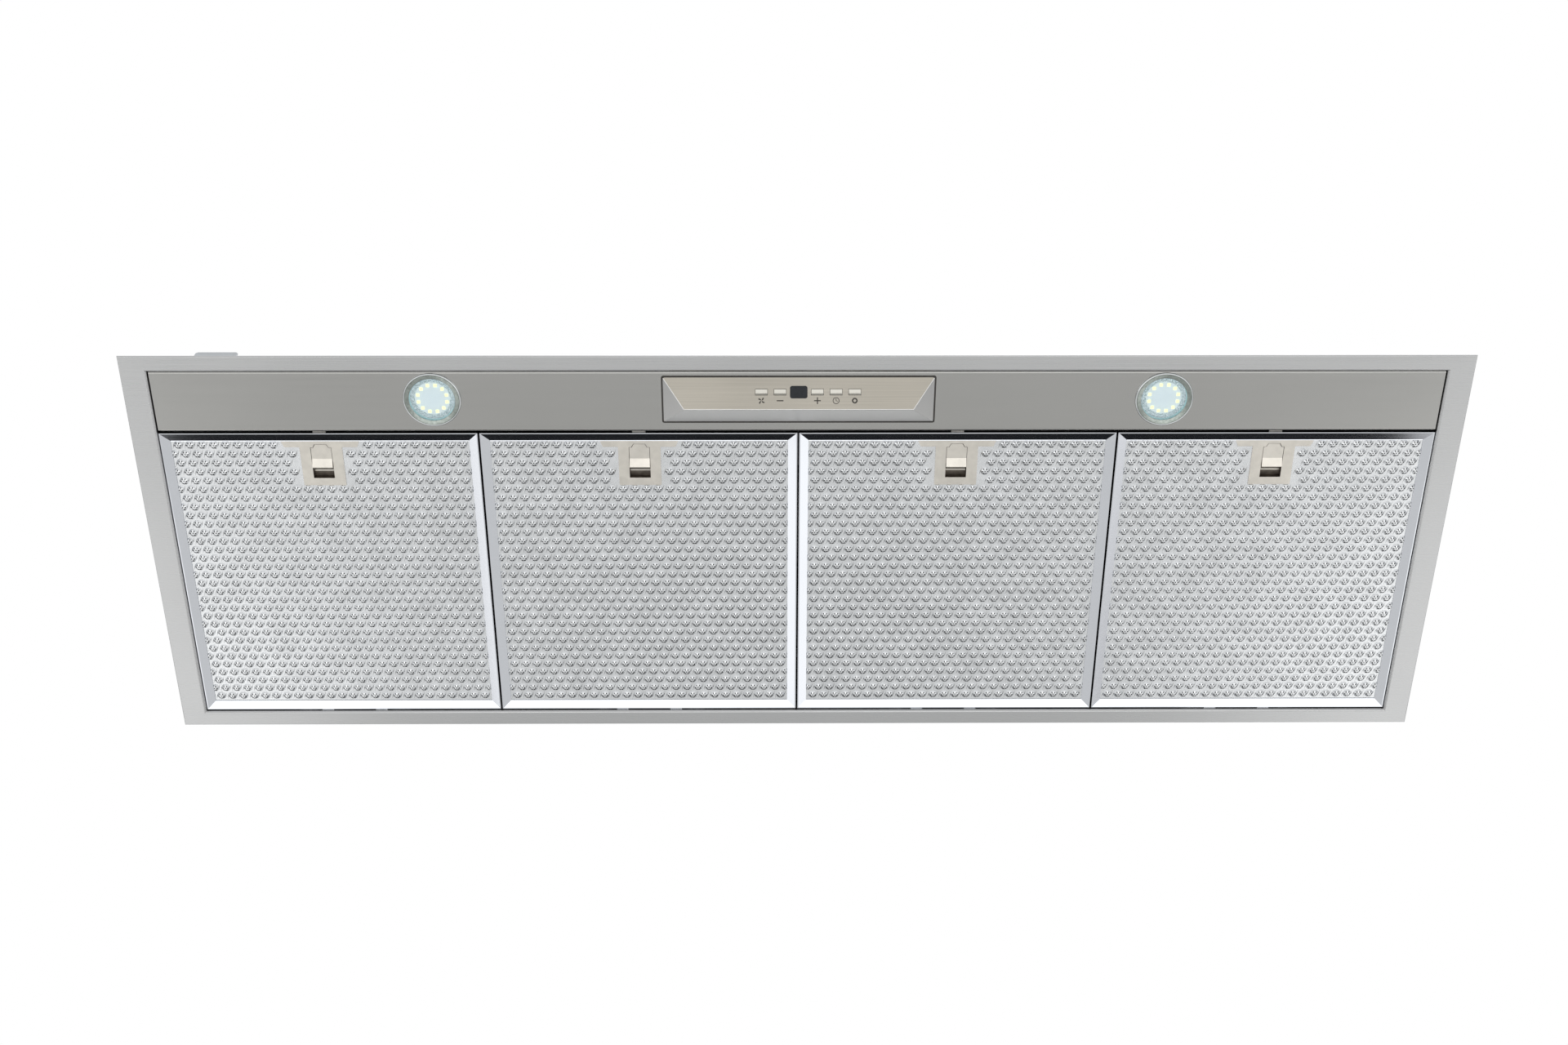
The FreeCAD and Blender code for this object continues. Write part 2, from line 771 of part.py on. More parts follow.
def control_board():
    """Circuit board behind the control face, with a switch under each button's stem."""
    body = new_body("control_board")
    tilt_onto_face(body)
    half = d.board_length / 2
    pad(body, "laminate", "XY", [
        box_outline(-half, half, d.board_start, d.board_start + d.board_width),
    ], d.board_thick, offset=d.board_depth)
    key = d.switch_side / 2
    loops = [box_outline(x - key, x + key, d.button_down - key, d.button_down + key)
             for x in button_places()]
    dw = d.display_width / 2 - d.board_thick
    dd = d.display_depth / 2 - d.board_thick
    pad(body, "switches", "XY", loops, d.switch_height, offset=d.board_depth, back=True)
    pad(body, "display", "XY", [box_outline(-dw, dw, d.button_down - dd, d.button_down + dd)],
        d.board_depth - d.pod_wall - 2 * d.display_proud, offset=d.board_depth, back=True)


def control_cover():
    """Box on top of the fascia that closes off the electronics, held by its two end feet."""
    body = new_body("control_cover")
    wall = d.cover_wall
    y0 = front_edge + d.pod_setback - wall
    y1 = y0 + d.pod_depth + 2 * wall
    half = d.cover_length / 2
    pad(body, "block", "XY", [rounded_outline(-half, half, y0, y1, d.cover_corner)],
        d.cover_height, offset=fascia_top)
    pocket(body, "hollow", "XY", [box_outline(-half + wall, half - wall, y0 + wall, y1 - wall)],
           d.cover_height - wall, offset=fascia_top, back=True)
    feet = []
    for side in (-1, 1):
        feet.append(box_outline(side * (half - wall), side * (half + d.cover_foot),
                                y0 + d.cover_foot_inset, y1 - d.cover_foot_inset))
    pad(body, "feet", "XY", feet, wall, offset=fascia_top)


# ---------------------------------------------------------------- grease filters and their latches
def filter_frame(number, middle):
    """Mitred channel frame with a sloped face, a hole for the latch nose and two rear hooks."""
    body = new_body("filter_frame_%d" % number, middle)
    half = filter_width / 2
    y0 = filter_front
    low, high = filter_bottom, filter_top
    wall = d.rail_sheet
    section = sketch(body, "rail_section", "YZ", [[
        (y0, low), (y0 + d.rail_lip, low), (y0 + d.rail_face, low + d.rail_slope),
        (y0 + d.rail_face, mesh_bottom), (y0 + d.rail_lip, low + wall), (y0 + wall, low + wall),
        (y0 + wall, high - wall), (y0 + d.rail_face - d.rail_short, high - wall),
        (y0 + d.rail_face - d.rail_short, high), (y0, high),
    ]])
    path = sketch(body, "rail_path", "XY", [[
        (0, y0), (half, y0), (half, filter_rear), (-half, filter_rear), (-half, y0),
    ]])
    doc.recompute()
    sweep = body.newObject("PartDesign::AdditivePipe", "rails")
    sweep.Profile = section
    sweep.Spine = path
    sweep.Transition = "Right corner"
    slot = d.nose_width / 2 + d.clearance
    pocket(body, "nose_slot", "XZ", [
        box_outline(-slot, slot, nose_bottom - d.clearance, nose_bottom + d.nose_thick + d.clearance),
    ], 3 * wall, offset=-1 * y0, both=True)
    hooks = []
    for side in (-1, 1):
        centre = side * d.hook_offset
        hooks.append(box_outline(centre - d.hook_width / 2, centre + d.hook_width / 2,
                                 filter_rear - wall, filter_rear + d.hook_reach))
    pad(body, "hooks", "XY", hooks, d.hook_thick, offset=hook_bottom)


def filter_mesh(number, middle):
    """Two perforated sheets held in the channel, both cut out round the latch's cup."""
    body = new_body("filter_mesh_%d" % number, middle)
    edge = d.rail_sheet + d.clearance
    half = filter_width / 2 - edge
    cup = d.window_width / 2 + d.cup_wall + d.clearance
    cut = box_outline(-cup, cup, window_front - d.cup_wall - d.clearance,
                      window_rear + d.cup_wall + d.clearance)
    outline = box_outline(-half, half, filter_front + edge, filter_rear - edge)
    pad(body, "face_sheet", "XY", [outline, cut], d.mesh_thick, offset=mesh_bottom)
    pad(body, "back_sheet", "XY", [outline, cut], d.mesh_thick,
        offset=filter_top - d.rail_sheet - d.mesh_thick)


def window_outline(shrink):
    """The latch window: a rectangle with a tapered notch at its front."""
    half = d.window_width / 2 - shrink
    front = window_front + shrink
    shoulder = window_front + d.window_shoulder + shrink
    near = d.notch_front / 2 - shrink
    far = d.notch_rear / 2 - shrink
    rear = window_rear - shrink
    return [(-near, front), (near, front), (far, shoulder), (half, shoulder),
            (half, rear), (-half, rear), (-half, shoulder), (-far, shoulder)]


def latch_plate(number, middle):
    """T-shaped moulded plate with a window, a closed cup behind it and a lug for the spring."""
    body = new_body("latch_plate_%d" % number, middle)
    wing = d.wing_width / 2
    half = d.plate_width / 2
    y0 = plate_front
    y1 = y0 + d.wing_depth
    pad(body, "plate", "XY", [[
        (-wing, y0), (wing, y0), (wing - d.wing_slant, y1), (half, y1), (half, y0 + d.plate_depth),
        (-half, y0 + d.plate_depth), (-half, y1), (-wing + d.wing_slant, y1),
    ]], d.plate_thick, offset=plate_bottom)
    wall = d.cup_wall
    side = d.window_width / 2 + wall
    pad(body, "cup", "XY", [
        box_outline(-side, side, window_front - wall, window_rear + wall),
    ], d.cup_height, offset=mesh_bottom)
    inner = d.window_width / 2
    pocket(body, "cup_inside", "XY", [box_outline(-inner, inner, window_front, window_rear)],
           d.cup_height - wall, offset=mesh_bottom, back=True)
    pocket(body, "window", "XY", [window_outline(ZERO)], 3 * d.plate_thick, offset=plate_bottom,
           both=True)
    slot = d.nose_width / 2 + d.clearance
    pocket(body, "nose_slot", "XZ", [
        box_outline(-slot, slot, nose_bottom - d.clearance, nose_bottom + d.nose_thick + d.clearance),
    ], 3 * wall, offset=-1 * window_front, both=True)
    lug_y = lug_front()
    top = mesh_bottom + d.cup_height - wall
    lug = d.lug_width / 2
    pad(body, "spring_lug", "XY", [box_outline(-lug, lug, lug_y, lug_y + d.lug_thick)], d.lug_height,
        offset=top, back=True)


def lug_front():
    """The fixed lug stands this far back, near the rear end of the slide's spring recess."""
    return window_front + d.slide_flat + d.lip_length - d.lug_setback


def recess_front():
    return window_front + d.window_shoulder + d.recess_start


def latch_slide(number, middle):
    """Sliding tongue: nose, flat, finger lip and scoop, with a recess on top for its spring."""
    body = new_body("latch_slide_%d" % number, middle)
    gap = d.clearance
    front = window_front + gap
    flat_end = front + d.slide_flat
    tip = flat_end + d.lip_length
    low = slide_bottom
    tip_z = low - d.lip_drop
    end = tip + d.lip_thick
    scoop = slide_top - d.slide_skin - tip_z
    block = pad(body, "tongue", "YZ", [[
        (front, low), (flat_end, low), (tip, tip_z), (end, tip_z, -scoop),
        (end + scoop, tip_z + scoop), (end + scoop, slide_top), (front, slide_top),
    ]], d.window_width - 2 * gap, both=True)
    half = d.window_width / 2
    shoulder = window_front + d.window_shoulder + gap
    near = d.notch_front / 2 - gap
    far = d.notch_rear / 2 - gap
    corners = []
    for side in (-1, 1):
        corners.append([(side * near, front), (side * far, shoulder), (side * half, shoulder),
                        (side * half, front - 1), (side * near, front - 1)])
    pocket(body, "shoulders", "XY", corners, d.filter_thick * 2, offset=low, both=True)
    y0 = recess_front()
    y1 = lug_front() + d.recess_end
    recess = d.recess_width / 2
    pocket(body, "spring_recess", "XY", [box_outline(-recess, recess, y0, y1)],
           d.recess_depth, offset=slide_top)
    nose = d.nose_width / 2
    bevel = d.nose_bevel
    reach = fascia_rear - d.sheet - d.nose_grip
    pad(body, "nose", "XY", [[
        (-nose, reach + bevel), (-nose + bevel, reach), (nose - bevel, reach), (nose, reach + bevel),
        (near, front), (near, shoulder), (-near, shoulder), (-near, front),
    ]], d.nose_thick, offset=nose_bottom)


def latch_spring(number, middle):
    """Wave spring of bent strip, between the slide's recess and the fixed lug."""
    body = new_body("latch_spring_%d" % number, middle)
    gap = d.clearance
    start = recess_front() + gap
    length = lug_front() - gap - start
    waves = int(d.spring_waves.number)
    near_side = []
    far_side = []
    for step in range(waves + 1):
        x = d.spring_reach if step % 2 else -d.spring_reach
        y = start + length * (step / waves)
        near_side.append((x + d.spring_edge, y))
        far_side.append((x - d.spring_edge, y))
    pad(body, "strip", "XY", [near_side + far_side[::-1]], d.spring_strip,
        offset=slide_top - d.spring_drop)


def leaf_springs(number, middle):
    """Two bowed strips on the rear rail that push the filter towards the fascia."""
    body = new_body("filter_leaf_springs_%d" % number, middle)
    rear = filter_rear
    skin = d.leaf_thick
    bow = d.leaf_bulge
    loops = []
    for side in (-1, 1):
        start = side * d.leaf_start
        end = side * (d.leaf_start + d.leaf_length)
        near = side * (d.leaf_start + d.leaf_length * d.leaf_ramp)
        foot = side * d.leaf_foot
        far = side * (d.leaf_start + d.leaf_length - d.leaf_length * d.leaf_ramp)
        loops.append([
            (start, rear), (start + foot, rear), (near, rear + bow), (far, rear + bow),
            (end - foot, rear), (end, rear), (end, rear + skin), (end - foot, rear + skin),
            (far, rear + bow + skin), (near, rear + bow + skin), (start + foot, rear + skin),
            (start, rear + skin),
        ])
    pad(body, "strips", "XY", loops, d.leaf_height, offset=hook_bottom + d.hook_thick + d.leaf_rise)


# ---------------------------------------------------------------- blower
def blower_box():
    """Upper housing, open below, with side feet and the hole for the duct collar."""
    body = new_body("blower_box")
    half = d.box_width / 2
    pad(body, "block", "XY", [box_outline(-half, half, box_front, outer_y)], d.box_height, offset=roof)
    wall = d.sheet
    pocket(body, "hollow", "XY", [
        box_outline(-half + wall, half - wall, box_front + wall, wall_y),
    ], d.box_height - wall, offset=roof, back=True)
    feet = []
    for side in (-1, 1):
        feet.append(box_outline(side * (half - wall / 2), side * (half + d.box_foot),
                                box_front, outer_y))
    pad(body, "feet", "XY", feet, wall, offset=roof)
    pocket(body, "collar_hole", "XY", [(0, collar_y, d.collar_radius - d.collar_wall)],
           4 * wall, offset=box_top, both=True)


def collar_screws():
    reach = d.collar_radius + d.collar_base - d.collar_screw_inset
    return [(sx * reach, collar_y + sy * reach) for sx in (-1, 1) for sy in (-1, 1)]


def scroll_outline(extra):
    """Spiral casing of three quarter arcs that step outwards, then the straight outlet."""
    step = d.scroll_step
    first = d.scroll_radius + extra
    second = first + step
    third = second + step
    y, z = d.fan_setback, fan_z
    top = box_top - d.sheet
    cutoff = root(first * first - extra * extra)
    return [
        (y - extra, z + cutoff, first), (y - first, z, second), (y + step, z - second, third),
        (y + step + third, z + step), (y + step + third, top), (y - extra, top),
    ]


def scroll_housing():
    """Blower casing with an inlet in each side and its outlet under the duct collar."""
    body = new_body("scroll_housing")
    wall = d.scroll_wall
    pad(body, "casing", "YZ", [scroll_outline(wall)], d.scroll_width, both=True)
    pocket(body, "inside", "YZ", [scroll_outline(ZERO)], d.scroll_width - 2 * wall, both=True)
    pocket(body, "inlets", "YZ", [
        (d.fan_setback, fan_z, d.inlet_radius + d.inlet_lip),
    ], 2 * d.scroll_width, both=True)


def inlet_section(side):
    """Section of a pressed inlet ring in one side of the scroll, as x and radius."""
    flange = side * d.scroll_width / 2
    tip = flange - side * d.inlet_depth
    hole = d.inlet_radius + d.inlet_lip
    return [
        (flange, hole), (flange - side * d.scroll_wall, hole), (tip, d.inlet_radius),
        (flange, hole - d.inlet_skin),
    ]


def inlet_ring():
    body = new_body("inlet_ring", 0, d.fan_setback, fan_z)
    revolve(body, "pressed", "XZ", [inlet_section(1)], "H_Axis")


def motor_bracket():
    """Inlet ring on the motor's side, with a three-armed spider that carries the motor."""
    body = new_body("motor_bracket", 0, d.fan_setback, fan_z)
    revolve(body, "pressed", "XZ", [inlet_section(-1)], "H_Axis")
    face = -1 * (d.scroll_width / 2)
    opening = d.bearing_radius + d.clearance
    hub = d.motor_radius - d.motor_shoulder
    pad(body, "hub", "YZ", [hexagon(ZERO, ZERO, hub), (0, 0, opening)],
        d.arm_thick, offset=face, back=True)
    half = d.arm_width / 2
    reach = d.inlet_radius + d.inlet_lip + d.arm_foot
    arm = pad(body, "arm", "YZ", [box_outline(-half, half, opening + half, reach)],
              d.arm_thick, offset=face, back=True)
    around(body, "arms", [arm], "X_Axis", 3)


def motor_body():
    """Motor can with a bearing seat through the bracket and the bore that the shaft turns in."""
    body = new_body("motor_body", 0, d.fan_setback, fan_z)
    front = -1 * (d.scroll_width / 2 + d.motor_gap)
    rear = front - d.motor_length
    r = d.motor_radius
    bore = d.shaft_radius + d.running_gap
    shoulder = d.motor_shoulder
    revolve(body, "can", "XZ", [[
        (front + shoulder, bore), (front + shoulder, d.bearing_radius), (front, d.bearing_radius),
        (front, r), (rear, r), (rear, 0),
        (rear + d.shaft_end, 0), (rear + d.shaft_end, bore),
    ]], "H_Axis")


def motor_shaft():
    body = new_body("motor_shaft", 0, d.fan_setback, fan_z)
    start = -1 * (d.scroll_width / 2 + d.motor_gap + d.motor_length) + d.shaft_end + d.clearance
    end = d.hub_length / 2 + d.wheel_disc
    pad(body, "bar", "YZ", [(0, 0, d.shaft_radius)], end - start, offset=start)


def impeller():
    """Double-inlet wheel: hub and centre disc, two end rings and forward-swept blades."""
    body = new_body("impeller", 0, d.fan_setback, fan_z)
    half = d.wheel_width / 2
    inner = d.wheel_radius - d.blade_depth
    rim = inner + d.blade_thick
    disc = d.wheel_disc / 2
    hub = d.hub_length / 2
    wheel = [[
        (-hub, d.shaft_radius), (hub, d.shaft_radius), (hub, d.hub_radius), (disc, d.hub_radius),
        (disc, rim), (-disc, rim), (-disc, d.hub_radius), (-hub, d.hub_radius),
    ]]
    for side in (-1, 1):
        wheel.append(box_outline(side * (half - d.wheel_ring), side * half, inner, d.wheel_radius))
    revolve(body, "wheel", "XZ", wheel, "H_Axis")
    top = d.wheel_radius - d.blade_trim
    foot = inner + d.blade_thick / 2
    blade = pad(body, "blade", "YZ", [[
        (0, foot), (d.blade_thick, foot), (d.blade_sweep + d.blade_thick, top), (d.blade_sweep, top),
    ]], d.wheel_width - d.wheel_ring, both=True)
    around(body, "blades", [blade], "X_Axis", d.blade_count)


def capacitor():
    """Run capacitor with two blade terminals, clipped to the front wall of the blower box."""
    radius = d.capacitor_radius
    place_y = box_front + d.sheet + radius
    body = new_body("capacitor", -d.capacitor_place, place_y, roof + d.capacitor_rise)
    pad(body, "can", "XY", [(0, 0, radius)], d.capacitor_length)
    blades = []
    for side in (-1, 1):
        x = side * radius / 3
        blades.append(box_outline(x - d.terminal_thick / 2, x + d.terminal_thick / 2,
                                  -d.terminal_width / 2, d.terminal_width / 2))
    pad(body, "terminals", "XY", blades, d.terminal_length, offset=d.capacitor_length)


# ---------------------------------------------------------------- duct collar and damper
def duct_collar():
    """Spigot for the duct on a square base, with two holes for the damper pin."""
    body = new_body("duct_collar", 0, collar_y)
    outer = d.collar_radius
    inner = outer - d.collar_wall
    half = outer + d.collar_base
    pad(body, "base", "XY", [box_outline(-half, half, -half, half), (0, 0, inner)], d.sheet,
        offset=box_top)
    pad(body, "spigot", "XY", [(0, 0, outer), (0, 0, inner)], d.collar_length, offset=box_top)
    pocket(body, "pin_holes", "YZ", [(0, pin_z, d.pin_radius)], 4 * outer, both=True)


def damper_pin():
    body = new_body("damper_pin", 0, collar_y)
    pad(body, "bar", "YZ", [(0, pin_z, d.pin_radius)], 2 * d.collar_radius, both=True)


def damper_flap(label, side):
    """Half-round flap on the pin: the rear one by a middle knuckle, the front one by two beside it."""
    body = new_body(label, 0, collar_y, pin_z)
    radius = d.collar_radius - d.collar_wall - 2 * d.clearance
    near = d.knuckle_radius + d.clearance
    reach = root(radius * radius - near * near)
    turn = radius if side > 0 else -radius
    pad(body, "leaf", "XY", [[
        (reach, side * near, turn), (0, side * radius, turn), (-reach, side * near),
    ]], d.flap_thick, both=True)
    starts = [-d.knuckle_length / 2]
    if side < 0:
        starts = [-1.5 * d.knuckle_length - d.clearance, d.knuckle_length / 2 + d.clearance]
    straps = [box_outline(start, start + d.knuckle_length, 0, side * (near + d.knuckle_strap))
              for start in starts]
    pad(body, "straps", "XY", straps, d.flap_thick, both=True)
    for count, start in enumerate(starts):
        pad(body, "knuckle_%d" % count, "YZ", [(0, 0, d.knuckle_radius)], d.knuckle_length,
            offset=start)
    pocket(body, "pin_bore", "YZ", [(0, 0, d.pin_radius + d.running_gap)], 4 * radius, both=True)


# ---------------------------------------------------------------- electrical entry and fixings
def junction_box():
    """Terminal box on the roof, over the hole that the wires pass through."""
    body = new_body("junction_box", -d.entry_place)
    half = d.entry_length / 2
    wall = d.entry_wall
    pad(body, "block", "XY", [rounded_outline(-half, half, ZERO, d.entry_width, d.entry_corner)],
        d.entry_height, offset=roof)
    pocket(body, "hollow", "XY", [box_outline(-half + wall, half - wall, wall, d.entry_width - wall)],
           d.entry_height - wall, offset=roof, back=True)
    pocket(body, "gland_hole", "XZ", [(0, roof + d.entry_height / 2, d.gland_neck)], 3 * wall,
           offset=-1 * d.entry_width, both=True)


def cable_gland():
    """Screwed gland in the rear wall of the terminal box: neck, hexagon nut and cable bore."""
    body = new_body("cable_gland", -d.entry_place)
    place = roof + d.entry_height / 2
    neck_end = d.gland_inside + d.gland_nut
    pad(body, "neck", "XZ", [(0, place, d.gland_neck)], neck_end / 2,
        offset=-1 * (d.entry_width - d.gland_inside), back=True)
    pad(body, "nut", "XZ", [hexagon(ZERO, place, d.gland_radius)], d.gland_nut,
        offset=-1 * d.entry_width, back=True)
    pocket(body, "bore", "XZ", [(0, place, d.gland_bore)], 4 * neck_end,
           offset=-1 * d.entry_width, both=True)


def locating_tabs():
    """Four tabs on the front and rear walls that centre the insert in the cabinet's cut-out."""
    body = new_body("locating_tabs")
    half = d.tab_width / 2
    corner = d.tab_corner
    for name, facing in (("front", -1), ("rear", 1)):
        loops = []
        for side in (-1, 1):
            x0 = side * d.tab_place - half
            x1 = side * d.tab_place + half
            top = d.tab_high if (facing < 0 and side < 0) else d.tab_height
            loops.append([(x0, 0), (x1, 0), (x1, top - corner), (x1 - corner, top),
                          (x0 + corner, top), (x0, top - corner)])
        place = outer_y if facing < 0 else -1 * outer_y
        pad(body, name + "_tabs", "XZ", loops, d.tab_thick, offset=place, back=facing > 0)


def screws():
    """Hexagon-headed sheet screws of the blower box's feet and of the duct collar's base."""
    body = new_body("screws")
    for name, spots, under in (("foot", foot_screws(), roof + d.sheet),
                               ("collar", collar_screws(), box_top + d.sheet)):
        pad(body, name + "_heads", "XY", [hexagon(x, y, d.screw_head) for x, y in spots],
            d.screw_head_height, offset=under)


# ---------------------------------------------------------------- build and write
trim_flange()
housing_shell()
side_panel("side_panel_left", -1)
side_panel("side_panel_right", 1)
fascia_panel()
lamps()
control_pod()
display_lens()
for button_name, button_x in zip(("fan", "minus", "plus", "timer", "light"), button_places()):
    control_button("button_" + button_name, button_x)
control_board()
control_cover()
for filter_number in range(1, 5):
    filter_middle = (filter_number - 2.5) * filter_pitch
    filter_frame(filter_number, filter_middle)
    filter_mesh(filter_number, filter_middle)
    latch_plate(filter_number, filter_middle)
    latch_slide(filter_number, filter_middle)
    latch_spring(filter_number, filter_middle)
    leaf_springs(filter_number, filter_middle)
blower_box()
scroll_housing()
inlet_ring()
motor_bracket()
motor_body()
motor_shaft()
impeller()
capacitor()
duct_collar()
damper_pin()
damper_flap("damper_flap_front", -1)
damper_flap("damper_flap_rear", 1)
junction_box()
cable_gland()
locating_tabs()
screws()

doc.recompute()
faults = []
for item in doc.Objects:
    if "Invalid" in item.State or "Error" in item.State:
        faults.append("%s: %s" % (item.Name, item.State))
for piece in pieces:
    if piece.Shape.isNull() or not piece.Shape.isValid():
        faults.append("%s: no valid shape" % piece.Label)
if faults:
    raise RuntimeError("\n".join(faults))

os.makedirs("parts", exist_ok=True)
for piece in pieces:
    shape = piece.Shape
    shape.exportStep("parts/%s.step" % piece.Label)
    print("%-26s %2d solids %10.0f mm3" % (piece.Label, len(shape.Solids), shape.Volume))
print("%d nodes" % len(pieces))
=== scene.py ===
import bmesh
import bpy
import math
from mathutils import Matrix, Vector


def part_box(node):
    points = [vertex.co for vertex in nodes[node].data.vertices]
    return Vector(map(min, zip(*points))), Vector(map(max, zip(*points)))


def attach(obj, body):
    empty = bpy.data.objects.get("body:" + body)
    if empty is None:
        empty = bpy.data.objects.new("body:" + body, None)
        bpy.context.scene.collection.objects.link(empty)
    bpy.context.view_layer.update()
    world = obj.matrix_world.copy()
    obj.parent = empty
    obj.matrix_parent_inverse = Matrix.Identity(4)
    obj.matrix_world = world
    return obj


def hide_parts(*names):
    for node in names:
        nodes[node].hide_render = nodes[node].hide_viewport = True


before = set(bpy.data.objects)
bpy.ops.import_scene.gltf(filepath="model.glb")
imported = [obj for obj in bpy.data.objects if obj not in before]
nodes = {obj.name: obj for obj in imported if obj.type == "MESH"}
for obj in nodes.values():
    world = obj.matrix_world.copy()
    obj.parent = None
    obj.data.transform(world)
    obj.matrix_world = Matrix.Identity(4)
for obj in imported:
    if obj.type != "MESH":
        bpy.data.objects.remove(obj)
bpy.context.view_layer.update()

# ------------------------------------------------------------------ studio and camera
# The insert is seen from in front and one and a half metres below the cabinet. White floor, a
# tall soft box on either side, a low one beneath and one high above; the far end of the room is
# left unlit.
FOCAL_PIXELS, PHOTO_WIDTH = 2318.0, 1920.0
PITCH, YAW, ROLL = 60.506, -0.885, -0.851
EYE = Vector((-0.02606, -0.89108, -1.52557))
SENSOR, CLIP_END = 36.0, 50
FLOOR_SIZE, FLOOR_DROP = 6.4, 2.75
FLOOR_COLOUR, FLOOR_ROUGHNESS = (0.80, 0.80, 0.79, 1), 0.7
ROOM_COLOUR, UNLIT_COLOUR, WHITE = (0.90, 0.91, 0.92, 1), (0.015, 0.016, 0.018, 1), (1, 1, 1, 1)
UNLIT_BOTTOM, UNLIT_TOP, UNLIT_FRONT = (-0.72, -0.52), (-0.28, -0.12), (-0.1, 0.5)
AIM = Vector((0, 0, 0.05))
SOFT_BOXES = {
    "left": ((-1.5, 1.15, -1.15), (1.2, 1.4), 3.2),
    "right": ((1.5, 1.15, -1.15), (1.2, 1.4), 3.2),
    "under": ((0.0, -0.15, -1.9), (3.2, 0.8), 8.2),
    "above": ((0.4, -0.5, 1.9), (1.8, 1.2), 9.0),
}

camera = bpy.data.objects.new("camera", bpy.data.cameras.new("camera"))
camera.data.sensor_width = SENSOR
camera.data.lens = FOCAL_PIXELS / PHOTO_WIDTH * SENSOR
camera.data.clip_end = CLIP_END
swing = Matrix.Rotation(math.radians(YAW), 3, "Z")
lean = math.radians(PITCH)
ahead = swing @ Vector((0, math.cos(lean), math.sin(lean)))
across = swing @ Vector((1, 0, 0))
upward = swing @ Vector((0, -math.sin(lean), math.cos(lean)))
tip = Matrix.Rotation(math.radians(ROLL), 3, -ahead)
camera.matrix_world = Matrix.Translation(EYE) @ Matrix(
    (tip @ across, tip @ upward, -ahead)).transposed().to_4x4()
bpy.context.scene.collection.objects.link(camera)
bpy.context.scene.camera = camera
bpy.context.scene.view_settings.view_transform = "Standard"


def wired(tree, kind, inputs=(), **settings):
    """Adds a node; inputs pairs a socket's name or number with a number, colour or other socket."""
    node = tree.nodes.new(kind)
    for name, value in settings.items():
        setattr(node, name, value)
    for key, value in dict(inputs).items():
        if isinstance(value, bpy.types.NodeSocket):
            tree.links.new(value, node.inputs[key])
        else:
            node.inputs[key].default_value = value
    return node


def calc(tree, operation, a, b=0.0):
    """The result of a Math node."""
    return wired(tree, "ShaderNodeMath", {0: a, 1: b}, operation=operation).outputs[0]


def blend(tree, share, first, second):
    """Mixes two colours: a share of 0 gives the first, 1 the second."""
    return wired(tree, "ShaderNodeMix", {0: share, 6: first, 7: second}, data_type="RGBA").outputs[2]


def ramp(tree, value, edges, low=0.0, high=1.0):
    """A smooth change from low to high while value goes from the first edge to the second."""
    return wired(tree, "ShaderNodeMapRange", {"Value": value, "From Min": edges[0], "From Max": edges[1],
                                              "To Min": low, "To Max": high},
                 interpolation_type="SMOOTHSTEP").outputs[0]


world = bpy.data.worlds.new("studio")
bpy.context.scene.world = world
world.use_nodes = True
sky = world.node_tree
sky.nodes.clear()
toward = wired(sky, "ShaderNodeSeparateXYZ", {0: wired(sky, "ShaderNodeTexCoord").outputs["Generated"]})
over_floor = ramp(sky, toward.outputs["Z"], UNLIT_BOTTOM)
under_ceiling = ramp(sky, toward.outputs["Z"], UNLIT_TOP, 1.0, 0.0)
at_back = ramp(sky, toward.outputs["Y"], UNLIT_FRONT)
unlit = calc(sky, "MULTIPLY", calc(sky, "MULTIPLY", over_floor, under_ceiling), at_back)
rays = wired(sky, "ShaderNodeLightPath").outputs
seen = calc(sky, "MAXIMUM", rays["Is Camera Ray"], rays["Is Transmission Ray"])
backdrop = blend(sky, seen, blend(sky, unlit, ROOM_COLOUR, UNLIT_COLOUR), WHITE)
light = wired(sky, "ShaderNodeBackground", {"Color": backdrop, "Strength": 1.0})
wired(sky, "ShaderNodeOutputWorld", {"Surface": light.outputs[0]})

for name, (place, size, power) in SOFT_BOXES.items():
    lamp = bpy.data.lights.new("soft_box_" + name, "AREA")
    lamp.shape, lamp.size, lamp.size_y, lamp.energy = "RECTANGLE", size[0], size[1], power
    box = bpy.data.objects.new("soft_box_" + name, lamp)
    box.location = place
    box.rotation_euler = (AIM - Vector(place)).to_track_quat("-Z", "Y").to_euler()
    box.visible_camera = False
    bpy.context.scene.collection.objects.link(box)


def shape_from(name, points, faces):
    """A piece of its own, made from points and faces in the frame's metres."""
    mesh = bpy.data.meshes.new(name)
    mesh.from_pydata([tuple(p) for p in points], [], faces)
    piece = bpy.data.objects.new(name, mesh)
    bpy.context.scene.collection.objects.link(piece)
    return piece


half = FLOOR_SIZE / 2
floor = shape_from("floor", [(x, y, -FLOOR_DROP) for x, y in
                             ((-half, -half), (half, -half), (half, half), (-half, half))], [(0, 1, 2, 3)])
floor_paint = bpy.data.materials.new("floor_paint")
floor_paint.use_nodes = True
floor_paint.node_tree.nodes["Principled BSDF"].inputs["Base Color"].default_value = FLOOR_COLOUR
floor_paint.node_tree.nodes["Principled BSDF"].inputs["Roughness"].default_value = FLOOR_ROUGHNESS
floor.data.materials.append(floor_paint)

# ------------------------------------------------------------------ trim flange
# Pressed from one sheet of satin stainless steel, folded back on itself round the rim and
# welded at the corners. The belt that brushed it ran along its length.
MM = 0.001
FLANGE_COLOUR = (0.52, 0.52, 0.52, 1)
GRAIN_LENGTH, GRAIN_WIDTH, CLOUD_SIZE = 0.12, 0.0007, 0.16
GRAIN_BUMP, GRAIN_DEPTH = 0.03, 0.0002
SMOOTHER, ROUGHER = 0.02, 0.03
ROUND_ANGLE, MITRE_ANGLE = math.radians(35), math.radians(15)
SAME_POINT, FLAT_ANGLE = 1e-6, math.radians(0.5)


